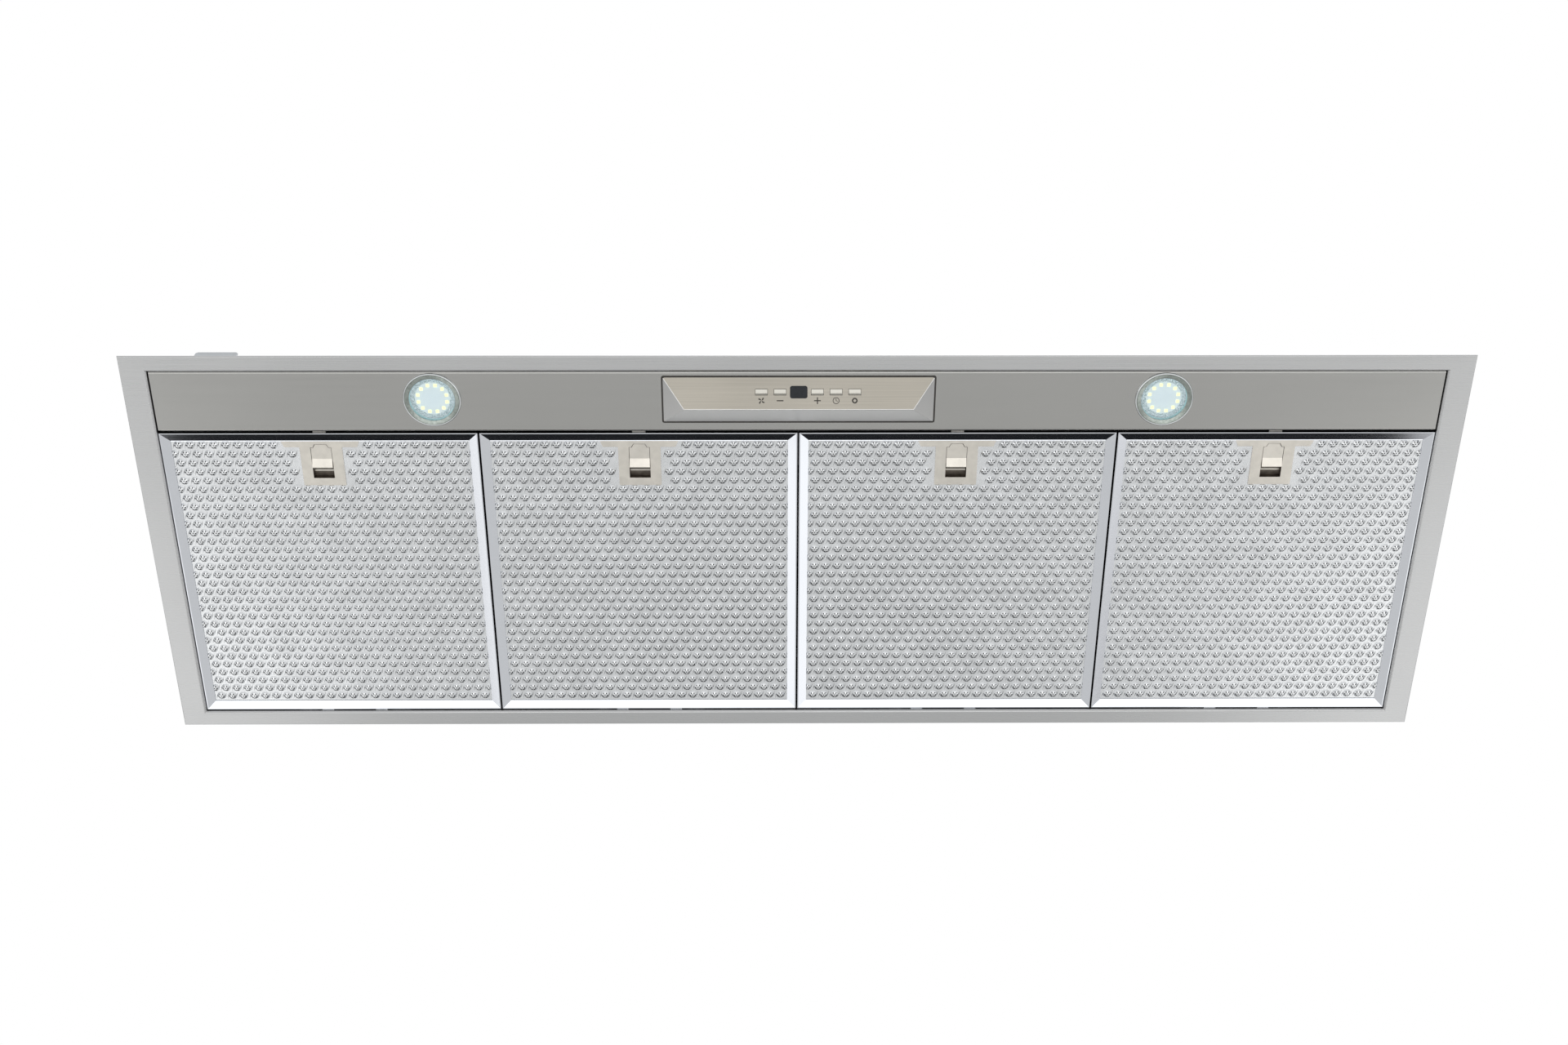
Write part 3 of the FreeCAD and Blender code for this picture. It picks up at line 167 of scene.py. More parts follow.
def plain_finish(name, colour, metallic, roughness, **more):
    """A material with the plain numbers of its Principled shader."""
    material = bpy.data.materials.new(name)
    material.use_nodes = True
    shader = material.node_tree.nodes["Principled BSDF"]
    values = {"Base Color": colour, "Metallic": metallic, "Roughness": roughness, **more}
    for socket, value in values.items():
        shader.inputs[socket].default_value = value
    return material


def noise(tree, size, detail=2.0):
    """Noise on Object coordinates whose cells measure size (x, y, z) metres."""
    place = wired(tree, "ShaderNodeTexCoord")
    scaled = wired(tree, "ShaderNodeMapping", {"Vector": place.outputs["Object"],
                                               "Scale": [1 / s for s in size]})
    return wired(tree, "ShaderNodeTexNoise", {"Vector": scaled.outputs[0], "Scale": 1.0,
                                              "Detail": detail}).outputs["Fac"]


def between(tree, source, low, high, low_at=0.3, high_at=0.7):
    """Turns a pattern into a number between low and high."""
    return wired(tree, "ShaderNodeMapRange", {"Value": source, "From Min": low_at, "From Max": high_at,
                                              "To Min": low, "To Max": high}).outputs[0]


def driven(tree, socket, source):
    """Links a pattern to a socket of the material's Principled shader."""
    tree.links.new(source, tree.nodes["Principled BSDF"].inputs[socket])


def tinted(tree, source, dark, pale, low_at=0.3, high_at=0.7):
    """Lets a pattern shift the base colour between a darker and a paler one."""
    driven(tree, "Base Color", blend(tree, between(tree, source, 0.0, 1.0, low_at, high_at), dark, pale))


def worn(tree, source, low, high, low_at=0.3, high_at=0.7):
    """Lets a pattern shift the roughness between low and high."""
    driven(tree, "Roughness", between(tree, source, low, high, low_at, high_at))


def embossed(tree, source, strength, depth):
    """Lets a pattern tilt the surface, as relief of that depth in metres would."""
    bump = wired(tree, "ShaderNodeBump", {"Height": source, "Strength": strength, "Distance": depth})
    driven(tree, "Normal", bump.outputs[0])


def shaded(colour, factor):
    """A colour made darker or paler."""
    return tuple(c * factor for c in colour[:3]) + (1,)


def mottled(name, colour, metallic, roughness, grain, shades, detail=2.0, relief=None, **more):
    """A finish that drifts between two shades of its colour, in grains of that size in metres."""
    material = plain_finish(name, colour, metallic, roughness, **more)
    tree = material.node_tree
    grains = noise(tree, [grain] * 3, detail)
    tinted(tree, grains, shaded(colour, shades[0]), shaded(colour, shades[1]))
    if relief:
        embossed(tree, grains, *relief)
    return material


def brushed(name, colour, rough=0.28, contrast=0.02):
    """Belt-brushed sheet: hair-fine lines along X, over faint clouds from rolling."""
    material = plain_finish(name, colour, 1.0, rough)
    tree = material.node_tree
    lines = noise(tree, [GRAIN_LENGTH, GRAIN_WIDTH, GRAIN_WIDTH], detail=3.0)
    clouds = noise(tree, [CLOUD_SIZE] * 3)
    both = calc(tree, "ADD", between(tree, lines, 0.0, 0.5), between(tree, clouds, 0.0, 0.5))
    tinted(tree, both, shaded(colour, 1 - contrast), shaded(colour, 1 + contrast), 0.2, 0.8)
    worn(tree, lines, rough - SMOOTHER, rough + ROUGHER)
    embossed(tree, lines, GRAIN_BUMP, GRAIN_DEPTH)
    return material


def dress(material, *names):
    """Puts a material on nodes that came with the frame and keep their mesh."""
    for name in names:
        nodes[name].data.materials.clear()
        nodes[name].data.materials.append(material)


def kept(piece, body, slot, *replaced):
    """Says which body a piece rides on and which nodes it stands for. slot is not used."""
    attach(piece, body)
    if replaced:
        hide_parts(*replaced)
    return piece


def merged(name):
    """A node's triangles as one closed shell with flat faces joined up again."""
    shell = bmesh.new()
    shell.from_mesh(nodes[name].data)
    bmesh.ops.remove_doubles(shell, verts=shell.verts, dist=SAME_POINT)
    bmesh.ops.join_triangles(shell, faces=shell.faces, angle_face_threshold=FLAT_ANGLE,
                             angle_shape_threshold=math.pi)
    return shell


def finished(name, shell, materials, crisp=ROUND_ANGLE):
    """Turns a bmesh into a piece with smooth curves, crisp corners and outward normals."""
    bmesh.ops.recalc_face_normals(shell, faces=shell.faces)
    for face in shell.faces:
        face.smooth = True
    for edge in shell.edges:
        edge.smooth = len(edge.link_faces) == 2 and edge.calc_face_angle(0) < crisp
    mesh = bpy.data.meshes.new(name)
    shell.to_mesh(mesh)
    shell.free()
    for material in materials:
        mesh.materials.append(material)
    piece = bpy.data.objects.new(name, mesh)
    bpy.context.scene.collection.objects.link(piece)
    weighted = piece.modifiers.new("flat_faces_stay_flat", "WEIGHTED_NORMAL")
    weighted.keep_sharp = True
    piece.data = bpy.data.meshes.new_from_object(
        piece.evaluated_get(bpy.context.evaluated_depsgraph_get()))
    piece.modifiers.remove(weighted)
    return piece


def softened(node, name, width, materials, segments=2, sharper=30, crisp=ROUND_ANGLE):
    """A closed copy of a node whose sharp edges are rounded by width millimetres."""
    shell = merged(node)
    edges = [e for e in shell.edges if len(e.link_faces) == 2
             and abs(e.calc_face_angle(0)) > math.radians(sharper)]
    bmesh.ops.bevel(shell, geom=edges, offset=width * MM, segments=segments, profile=0.5,
                    affect="EDGES", clamp_overlap=True)
    return finished(name, shell, materials, crisp)


satin_steel = brushed("satin_steel", FLANGE_COLOUR)
kept(softened("trim_flange", "flange", 0.25, [satin_steel]), "housing", "flange", "trim_flange")

# ------------------------------------------------------------------ fascia
# One folded strip of the same steel across the front, brushed along its length as well, but given a darker
# colour as painted shade.
# Its rear edge rolls over towards the filters and its legs stand on the housing's walls.
# Painted shade: darker than the flange's colour for the same steel.
FASCIA_SHADED_COLOUR = (0.405, 0.40, 0.385, 1)

shaded_fascia_steel = brushed("shaded_fascia_steel", FASCIA_SHADED_COLOUR, rough=0.24)
dress(shaded_fascia_steel, "fascia_panel")

# ------------------------------------------------------------------ control pod
# A hipped wedge of sheet steel that hangs below the fascia. Its front facet carries a
# champagne-coloured skin with the keys, the window and five printed symbols.
POD_COLOUR = (0.69, 0.685, 0.67, 1)
# Painted highlight: a paler colour on the hip bevels draws the bright lines along the hips.
HIP_HIGHLIGHT_COLOUR = (0.93, 0.92, 0.90, 1)
# Painted shadow: a near-black strip stands in for the shade in the joint round the pod.
SHADOW_STRIP_COLOUR = (0.030, 0.026, 0.022, 1)
HIP_WIDTH = 1.7
SHADOW_STRIP_PROUD, SHADOW_STRIP_TUCKED, SHADOW_STRIP_THICK, SHADOW_STRIP_ROUND = 0.9, -0.5, 0.45, 2.0
# Cosines that tell the pod's outer facets and its hips apart.
HANGING, LEVEL, PARALLEL = -0.5, 0.99, 0.999
CHAMPAGNE = (0.50, 0.465, 0.405, 1)
FACE_FRONT, FACE_LIFT = -176.7, 0.5
FACE_TILT = math.atan2(12, 27)
SYMBOL_DOWN, SYMBOL_SIZE, SYMBOL_THICK = 21.3, 3.0, 0.05
SYMBOL_COLOUR = (0.035, 0.029, 0.024, 1)
STROKE_HALF, CLOCK_RIM, LAMP_SIZE, LAMP_RIM = 0.5, 0.6, 2.55, 1.25
FAN_BLADE = ((0.1, 0.0), (1.2, -0.5), (2.85, -1.15), (3.3, 0.0), (1.5, 0.6))
LONG_HAND = ((-0.28, -1.9), (0.28, -1.9), (0.28, 0.2), (-0.28, 0.2))
SHORT_HAND = ((0.28, -0.25), (1.5, 0.6), (1.2, 1.05), (0.28, 0.2))
KEY_PITCH = 16.6
DISPLAY_COLOUR = (0.016, 0.018, 0.021, 1)
KEY_COLOUR = (0.84, 0.81, 0.73, 1)


def on_face(x, down, out=0.0):
    """A point on the tilted control face: x across, down the face and out from it, in mm."""
    cosine, sine = math.cos(FACE_TILT), math.sin(FACE_TILT)
    return Vector((x, FACE_FRONT + down * cosine - out * sine,
                   FACE_LIFT - down * sine - out * cosine)) * MM


def extruded(shell, loop, depth):
    """Adds a flat plate to a bmesh: loop is its outer outline in metres, depth a vector."""
    low = [shell.verts.new(p) for p in loop]
    high = [shell.verts.new(Vector(p) + depth) for p in loop]
    shell.faces.new(low)
    shell.faces.new(high[::-1])
    for i in range(len(loop)):
        j = (i + 1) % len(loop)
        shell.faces.new((low[j], low[i], high[i], high[j]))


def looped(shell, loops):
    """Joins closed loops of points, each to the next and the last to the first."""
    rows = [[shell.verts.new(p) for p in loop] for loop in loops]
    count = len(rows[0])
    for a, b in zip(rows, rows[1:] + rows[:1]):
        for i in range(count):
            j = (i + 1) % count
            shell.faces.new((a[i], a[j], b[j], b[i]))


def pod_body():
    """The pod with painted highlights on its bevelled hips, and its front facet set apart from the others by
    material.
    """
    shell = merged("control_pod")
    out = (on_face(0, 0, 1) - on_face(0, 0, 0)).normalized()
    hips = []
    for edge in shell.edges:
        outside = [face for face in edge.link_faces if face.normal.z < HANGING]
        level = abs((edge.verts[0].co - edge.verts[1].co).normalized().x) > LEVEL
        if len(outside) == 2 and edge.calc_face_angle(0) > MITRE_ANGLE and not level:
            hips.append(edge)
    bmesh.ops.bevel(shell, geom=hips, offset=HIP_WIDTH * MM, segments=2, profile=0.5, affect="EDGES",
                    material=2)
    for face in shell.faces:
        face.normal_update()
        if face.material_index != 2:
            face.material_index = int(face.normal.dot(out) > PARALLEL)
    return finished("pod", shell, [pod_steel, champagne_steel, painted_hip_highlight], MITRE_ANGLE)


def rounded_loop(low, high, grow, radius, z, steps=5):
    """A rectangle round low and high (mm, in plan) with its corners rounded, at height z."""
    points = []
    corners = ((high.x, high.y, 1, 1), (low.x, high.y, -1, 1), (low.x, low.y, -1, -1), (high.x, low.y, 1, -1))
    for quarter, (x, y, side_x, side_y) in enumerate(corners):
        centre = Vector((x + side_x * (grow - radius), y + side_y * (grow - radius), z))
        for i in range(steps):
            turn = math.pi / 2 * (quarter + i / (steps - 1))
            points.append((centre + Vector((radius * math.cos(turn), radius * math.sin(turn), 0))) * MM)
    return points


def pod_seal():
    """A dark strip in the joint between the pod and the fascia: painted shadow for the gap there."""
    low, high = [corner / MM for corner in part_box("control_pod")]
    shell = bmesh.new()
    looped(shell, [rounded_loop(low, high, grow, SHADOW_STRIP_ROUND, z) for grow, z in (
        (SHADOW_STRIP_PROUD, high.z), (SHADOW_STRIP_PROUD, high.z - SHADOW_STRIP_THICK),
        (SHADOW_STRIP_TUCKED, high.z - SHADOW_STRIP_THICK), (SHADOW_STRIP_TUCKED, high.z))])
    return finished("pod_seal", shell, [shadow_strip_paint])


def spun(points, turn):
    """The points of a symbol turned about its middle."""
    cosine, sine = math.cos(turn), math.sin(turn)
    return [(x * cosine - y * sine, x * sine + y * cosine) for x, y in points]


def ring_symbol(shell, middle, outer, inner, count=40):
    """A flat ring printed on the face."""
    turns = [2 * math.pi * i / count for i in range(count)]
    looped(shell, [[on_face(middle + radius * math.cos(t), SYMBOL_DOWN + radius * math.sin(t), out)
                    for t in turns] for radius, out in
                   ((outer, 0), (outer, SYMBOL_THICK), (inner, SYMBOL_THICK), (inner, 0))])


def bar_symbol(shell, middle, points):
    """A flat patch with straight edges printed on the face."""
    depth = on_face(0, 0, SYMBOL_THICK) - on_face(0, 0, 0)
    extruded(shell, [on_face(middle + x, SYMBOL_DOWN + y) for x, y in points], depth)


def symbols():
    """Fan, minus, plus, clock and lamp ring, printed below their keys."""
    shell = bmesh.new()
    for quarter in range(4):
        bar_symbol(shell, -2 * KEY_PITCH, spun(FAN_BLADE, math.radians(45 + 90 * quarter)))
    arm = ((STROKE_HALF, -STROKE_HALF), (SYMBOL_SIZE, -STROKE_HALF), (SYMBOL_SIZE, STROKE_HALF))
    bar_symbol(shell, -KEY_PITCH, [point for half in (0, 1) for point in spun(arm[1:], math.pi * half)])
    bar_symbol(shell, KEY_PITCH, [point for quarter in range(4)
                                  for point in spun(arm, math.pi / 2 * quarter)])
    ring_symbol(shell, 2 * KEY_PITCH, SYMBOL_SIZE, SYMBOL_SIZE - CLOCK_RIM)
    bar_symbol(shell, 2 * KEY_PITCH, LONG_HAND)
    bar_symbol(shell, 2 * KEY_PITCH, SHORT_HAND)
    ring_symbol(shell, 3 * KEY_PITCH, LAMP_SIZE, LAMP_SIZE - LAMP_RIM)
    return finished("symbols", shell, [symbol_ink])


pod_steel = brushed("pod_steel", POD_COLOUR, rough=0.30)
# The hip bevels carry a painted highlight.
painted_hip_highlight = brushed("painted_hip_highlight", HIP_HIGHLIGHT_COLOUR, rough=0.2)
# Painted shadow for the joint round the pod, not a real foam seal.
shadow_strip_paint = mottled("shadow_strip_paint", SHADOW_STRIP_COLOUR, 0.0, 0.6, 0.001, (0.8, 1.2))
champagne_steel = brushed("champagne_steel", CHAMPAGNE, rough=0.34, contrast=0.09)
symbol_ink = mottled("symbol_ink", SYMBOL_COLOUR, 0.0, 0.5, 0.0006, (0.7, 1.3))
kept(pod_body(), "housing", "pod", "control_pod")
kept(pod_seal(), "housing", "plastic")
kept(symbols(), "housing", "pod")

window_glass = mottled("window_glass", DISPLAY_COLOUR, 0.0, 0.10, 0.004, (0.8, 1.3),
                       **{"Specular IOR Level": 0.35})
kept(softened("display_lens", "window", 0.12, [window_glass]), "housing", "display", "display_lens")

key_metal = brushed("key_metal", KEY_COLOUR, rough=0.32, contrast=0.04)
for symbol in ("fan", "minus", "plus", "timer", "light"):
    key, button = "key_" + symbol, "button_" + symbol
    kept(softened(button, key, 0.14, [key_metal], crisp=MITRE_ANGLE), key, "button", button)

# ------------------------------------------------------------------ lamps
# Two recessed spots: a turned and polished bezel, a conical gasket of dull metal, a pressed glass
# with a ring of small prisms, and behind it a white board with twelve warm chips on a finned
# heat sink. Profiles are (radius, height) in mm.
LAMP_X, LAMP_Y = 0.327, -0.1545
LAMP_PLACES = (("left", -LAMP_X), ("right", LAMP_X))
LATHE_STEPS = 96
BEZEL = ((22.8, 3.9), (22.8, 0.5), (26.0, 0.5), (26.0, -0.2), (25.85, -0.7), (25.5, -1.05), (25.1, -1.2),
         (24.7, -1.1), (24.4, -0.75), (24.3, -0.25), (22.0, -0.10), (21.45, -0.10), (21.45, 3.9))
GASKET = ((24.4, -0.2), (24.4, -0.95), (23.9, -1.0), (22.2, -0.6), (20.9, -0.42), (20.6, -0.25),
          (20.6, -0.06), (22.0, -0.05))
LENS = ((0, -0.04), (9.0, -0.04), (9.5, 0.1), (15.6, 0.1), (16.2, -0.02), (20.4, -0.02),
        (20.9, 0.0), (21.35, 0.25), (21.35, 1.7), (20.9, 2.1), (0, 2.1))
BOARD = ((0, 3.7), (22.4, 3.7), (22.4, 5.5), (0, 5.5))
PRISM_STEPS, PRISM_ROWS, PRISM_RISE = 2, (4, 5), 0.35
CHIPS, CHIP_RADIUS, CHIP_SIDE, CHIP_LOW, CHIP_THICK = 12, 13.2, 2.8, 3.0, 0.7
CHROME_COLOUR = (0.62, 0.64, 0.64, 1)
GASKET_COLOUR = (0.30, 0.33, 0.305, 1)
GLASS_COLOUR = (0.93, 0.98, 0.985, 1)
# The board's glow is painted light, and its flecks are painted for the prisms' effect.
BOARD_COLOUR, BOARD_PAINTED_GLOW = (0.80, 0.87, 0.92, 1), 0.30
SPECK_RADIUS, SPECK_SIZE, PRISM_FLECK_COLOUR = 0.0158, 0.0009, (0.24, 0.36, 0.40, 1)
RIM_RADIUS, RIM_COLOUR = 0.0202, (0.42, 0.70, 0.74, 1)
CHIP_COLOUR, CHIP_LIGHT, CHIP_GLOW = (0.92, 0.86, 0.42, 1), (1.0, 0.94, 0.50, 1), 0.9
HEAT_SINK_COLOUR = (0.55, 0.56, 0.57, 1)


def turned(shell, profile, centre, axis="Z", steps=LATHE_STEPS, ripple=None):
    """Adds a closed solid of revolution. ripple holds the rows that are pleated and by how much."""
    rings = []
    for row, (radius, height) in enumerate(profile):
        ring = []
        for i in range(steps if radius > 0 else 1):
            turn = 2 * math.pi * i / steps
            lift = ripple[1] if ripple and row in ripple[0] and i // PRISM_STEPS % 2 else 0.0
            u, v, w = radius * math.cos(turn), radius * math.sin(turn), height + lift
            point = {"Z": (u, v, w), "X": (w, u, v), "Y": (v, w, u)}[axis]
            ring.append(shell.verts.new(Vector(centre) + Vector(point) * MM))
        rings.append(ring)
    for a, b in zip(rings, rings[1:] + rings[:1]):
        for i in range(steps):
            j = (i + 1) % steps
            corners = []
            for vert in (a[i % len(a)], a[j % len(a)], b[j % len(b)], b[i % len(b)]):
                if vert not in corners:
                    corners.append(vert)
            if len(corners) > 2:
                shell.faces.new(corners)


def lamp_pieces(side, x):
    """Bezel, gasket, glass, board and chips of one lamp."""
    for part, profile, ripple, material, slot, replaced in (
            ("bezel", BEZEL, None, chrome, "lamp_ring", ["lamp_rings"]),
            ("gasket", GASKET, None, gasket_metal, "lamp_ring", []),
            ("glass", LENS, (PRISM_ROWS, PRISM_RISE), lamp_glass, "lamp_glass", ["lamp_lenses"]),
            ("board", BOARD, None, board_white_painted_glow, "board", [])):
        shell = bmesh.new()
        turned(shell, profile, (x, LAMP_Y, 0), ripple=ripple)
        kept(finished(part + "_" + side, shell, [material]), "housing", slot, *replaced)
    chips, half = bmesh.new(), CHIP_SIDE / 2
    for i in range(CHIPS):
        turn = 2 * math.pi * (i + 0.5) / CHIPS
        middle = Vector((x, LAMP_Y, 0)) + Vector((CHIP_RADIUS * math.cos(turn), CHIP_RADIUS * math.sin(turn),
                                                  CHIP_LOW)) * MM
        square = [middle + Vector((right * half, ahead * half, 0)) * MM
                  for right, ahead in ((-1, -1), (1, -1), (1, 1), (-1, 1))]
        extruded(chips, square, Vector((0, 0, CHIP_THICK * MM)))
    kept(finished("chips_" + side, chips, [chip_yellow]), "housing", "board")


def board_finish():
    """White lacquer with a painted glow for the chips' light, painted flecks where the prisms break it up,
    and teal at its rim.
    """
    material = plain_finish("board_white_painted_glow", BOARD_COLOUR, 0.0, 0.4, **{"Emission Strength": BOARD_PAINTED_GLOW})
    tree = material.node_tree
    spot = wired(tree, "ShaderNodeSeparateXYZ", {0: wired(tree, "ShaderNodeTexCoord").outputs["Object"]})
    from_x = calc(tree, "SUBTRACT", calc(tree, "ABSOLUTE", spot.outputs[0]), LAMP_X)
    from_y = calc(tree, "SUBTRACT", spot.outputs[1], LAMP_Y)
    squares = [calc(tree, "MULTIPLY", side, side) for side in (from_x, from_y)]
    radius = calc(tree, "SQRT", calc(tree, "ADD", *squares))
    flecks = between(tree, noise(tree, [SPECK_SIZE] * 3, detail=1.0), 0.0, 1.0, 0.46, 0.52)
    prism_flecks = calc(tree, "MULTIPLY", flecks, calc(tree, "GREATER_THAN", radius, SPECK_RADIUS))
    at_rim = calc(tree, "GREATER_THAN", radius, RIM_RADIUS)
    rimmed = blend(tree, at_rim, blend(tree, prism_flecks, BOARD_COLOUR, PRISM_FLECK_COLOUR), RIM_COLOUR)
    for socket in ("Base Color", "Emission Color"):
        driven(tree, socket, rimmed)
    return material


chrome = plain_finish("chrome", CHROME_COLOUR, 1.0, 0.16)
worn(chrome.node_tree, noise(chrome.node_tree, [0.003] * 3), 0.10, 0.24)
gasket_metal = mottled("gasket_metal", GASKET_COLOUR, 0.85, 0.2, 0.002, (0.8, 1.2))
lamp_glass = plain_finish("lamp_glass", GLASS_COLOUR, 0.0, 0.08, **{"Transmission Weight": 0.92, "IOR": 1.45})
worn(lamp_glass.node_tree, noise(lamp_glass.node_tree, [0.001] * 3, detail=3.0), 0.02, 0.08)
board_white_painted_glow = board_finish()
chip_yellow = mottled("chip_yellow", CHIP_COLOUR, 0.0, 0.3, 0.0008, (0.85, 1.0),
                      **{"Emission Color": CHIP_LIGHT, "Emission Strength": CHIP_GLOW})
for side, x in LAMP_PLACES:
    lamp_pieces(side, x)
cast_aluminium = mottled("cast_aluminium", HEAT_SINK_COLOUR, 1.0, 0.5, 0.0015, (0.85, 1.08), detail=3.0,
                         relief=(0.2, 0.0003))
dress(cast_aluminium, "lamp_modules")

# ------------------------------------------------------------------ grease filter frames
# Four cassettes held by a channel of drawn aluminium, mitred and pressed shut at the corners, with
# a folded hem inside its front rail. Two steel hooks stand out at the back, with a pair of bowed
# leaf springs between them.
RAIL_COLOUR = (0.69, 0.705, 0.74, 1)
SPRING_COLOUR = (0.50, 0.50, 0.51, 1)
FILTERS, FILTER_PITCH = range(1, 5), 0.2884
HEM_HALF = 0.1345
HEM_SECTION = ((-112.8, 3.75), (-112.8, 3.42), (-111.6, 3.13), (-111.6, 3.75))


def filter_middle(number):
    """Where a filter's middle lies across the insert, in metres."""
    return (number - 2.5) * FILTER_PITCH


drawn_aluminium = brushed("drawn_aluminium", RAIL_COLOUR, rough=0.10, contrast=0.02)
spring_steel = brushed("spring_steel", SPRING_COLOUR, rough=0.3)
for number in FILTERS:
    body, frame_node = "filter_%d" % number, "filter_frame_%d" % number
    kept(softened(frame_node, body + "_rails", 0.3, [drawn_aluminium], crisp=MITRE_ANGLE), body, "filter",
         frame_node)
    dress(spring_steel, "filter_leaf_springs_%d" % number)
    hem, start = bmesh.new(), filter_middle(number) - HEM_HALF
    extruded(hem, [Vector((start, y * MM, z * MM)) for y, z in HEM_SECTION], Vector((2 * HEM_HALF, 0, 0)))
    kept(finished(body + "_hem", hem, [drawn_aluminium]), body, "filter")

# ------------------------------------------------------------------ grease filter sheets
# The face is thin aluminium sheet, punched and drawn into staggered domes with seven pin holes
# each. A layer with a fibrous finish lies behind it, and a sheet of plain round holes closes the
# back. Edges and cup are counted in pitches from the middle, rows from the front.
DOME_PITCH_X, DOME_PITCH_Y = 0.0107, 0.00915
COLUMNS, ROWS = 28, 33
SHEET_MIDDLE = 0.029525
SHEET_HALF, RAIL_INSIDE = 0.1421, 0.1345
SHEET_FRONT, SHEET_REAR = -0.11965, 0.18005
SHEET_THICK, FACE_BOTTOM, LAYER_BOTTOM, BACK_BOTTOM = 0.0006, 0.0038, 0.0049, 0.0080
FACE_EDGE, INNER_EDGE, LAST_COLUMN = 12.75, 12.3, 13.7
FRONT_MARGIN, REAR_MARGIN = 0.008, 0.011
CUP_ROWS, CUP_COLUMNS = (0.5, 5.5), 1.2
CELL_WELD, WALL_WELD = 0.00005, 0.00002
RING, HOLE_RADIUS = 12, 0.0029
PIN_RIB = 17
DOME_PROFILE = ((0.0006, 0.0019), (0.0018, 0.00182), (0.0031, 0.00135), (0.0042, 0.0))
PLATE_HALF, PLATE_REAR, WING_HALF, WING_REAR = 0.0234, -0.0627, 0.0392, -0.1015
SHEET_COLOUR = (0.76, 0.77, 0.78, 1)
LAYER_COLOUR = (0.55, 0.55, 0.56, 1)
FLECK_SIZE, STRAND_SIZE = 0.0012, (0.0011, 0.0022, 0.01)


def cell_outline():
    """The six boundary points that a cell shares with its staggered neighbours."""
    half_x, half_y = DOME_PITCH_X / 2, DOME_PITCH_Y / 2
    return [(half_x, -half_y), (half_x, half_y), (0, half_y),
            (-half_x, half_y), (-half_x, -half_y), (0, -half_y)]


def tile(name, points, faces):
    """A cell that only serves the lattice, so it is kept out of the scene."""
    mesh = bpy.data.meshes.new(name)
    mesh.from_pydata(points, [], faces)
    return bpy.data.objects.new(name, mesh)


def skirt(faces, inner, outer, corners):
    """Joins a ring of inner points to the six outer ones; corners holds their directions."""
    count, rim = len(inner), len(outer)
    starts = [min(range(count), key=lambda i: abs((way - inner[i][1] + math.pi) % (2 * math.pi) - math.pi))
              for way in corners]
    for k in range(rim):
        i, last = starts[k], starts[(k + 1) % rim]
        while i != last:
            j = (i + 1) % count
            faces.append((inner[i][0], outer[k], inner[j][0]))
            i = j
        faces.append((inner[last][0], outer[k], outer[(k + 1) % rim]))


def dome_tile():
    """A low cap with seven pin holes, one in its middle and six round it, and a steep edge."""
    rib = math.radians(PIN_RIB)
    turns = [math.radians(60 * k + 30) + s * rib for k in range(6) for s in (-1, 1)]
    points, rows = [], []
    for radius, drop in DOME_PROFILE:
        rows.append(range(len(points), len(points) + RING))
        points += [(radius * math.cos(t), radius * math.sin(t), -drop) for t in turns]
    faces = []
    for low, high in zip(rows, rows[1:]):
        for i in range(RING):
            j = (i + 1) % RING
            if low != rows[1] or i % 2 == 0:
                faces.append((low[i], high[i], high[j], low[j]))
    rim = range(len(points), len(points) + 6)
    outline = cell_outline()
    points += [(x, y, 0) for x, y in outline]
    skirt(faces, list(zip(rows[-1], turns)), rim, [math.atan2(y, x) for x, y in outline])
    return tile("dome_cell", points, faces)


def holed_tile():
    """A flat cell with one round hole."""
    turns = [2 * math.pi * (i + 0.5) / RING for i in range(RING)]
    points = [(HOLE_RADIUS * math.cos(t), HOLE_RADIUS * math.sin(t), 0) for t in turns]
    outline = cell_outline()
    points += [(x, y, 0) for x, y in outline]
    faces = []
    skirt(faces, list(enumerate(turns)), range(RING, RING + 6), [math.atan2(y, x) for x, y in outline])
    return tile("holed_cell", points, faces)


def plain_tile():
    """A flat cell without a hole."""
    return tile("plain_cell", [(x, y, 0) for x, y in cell_outline()], [(0, 1, 2, 3, 4, 5)])


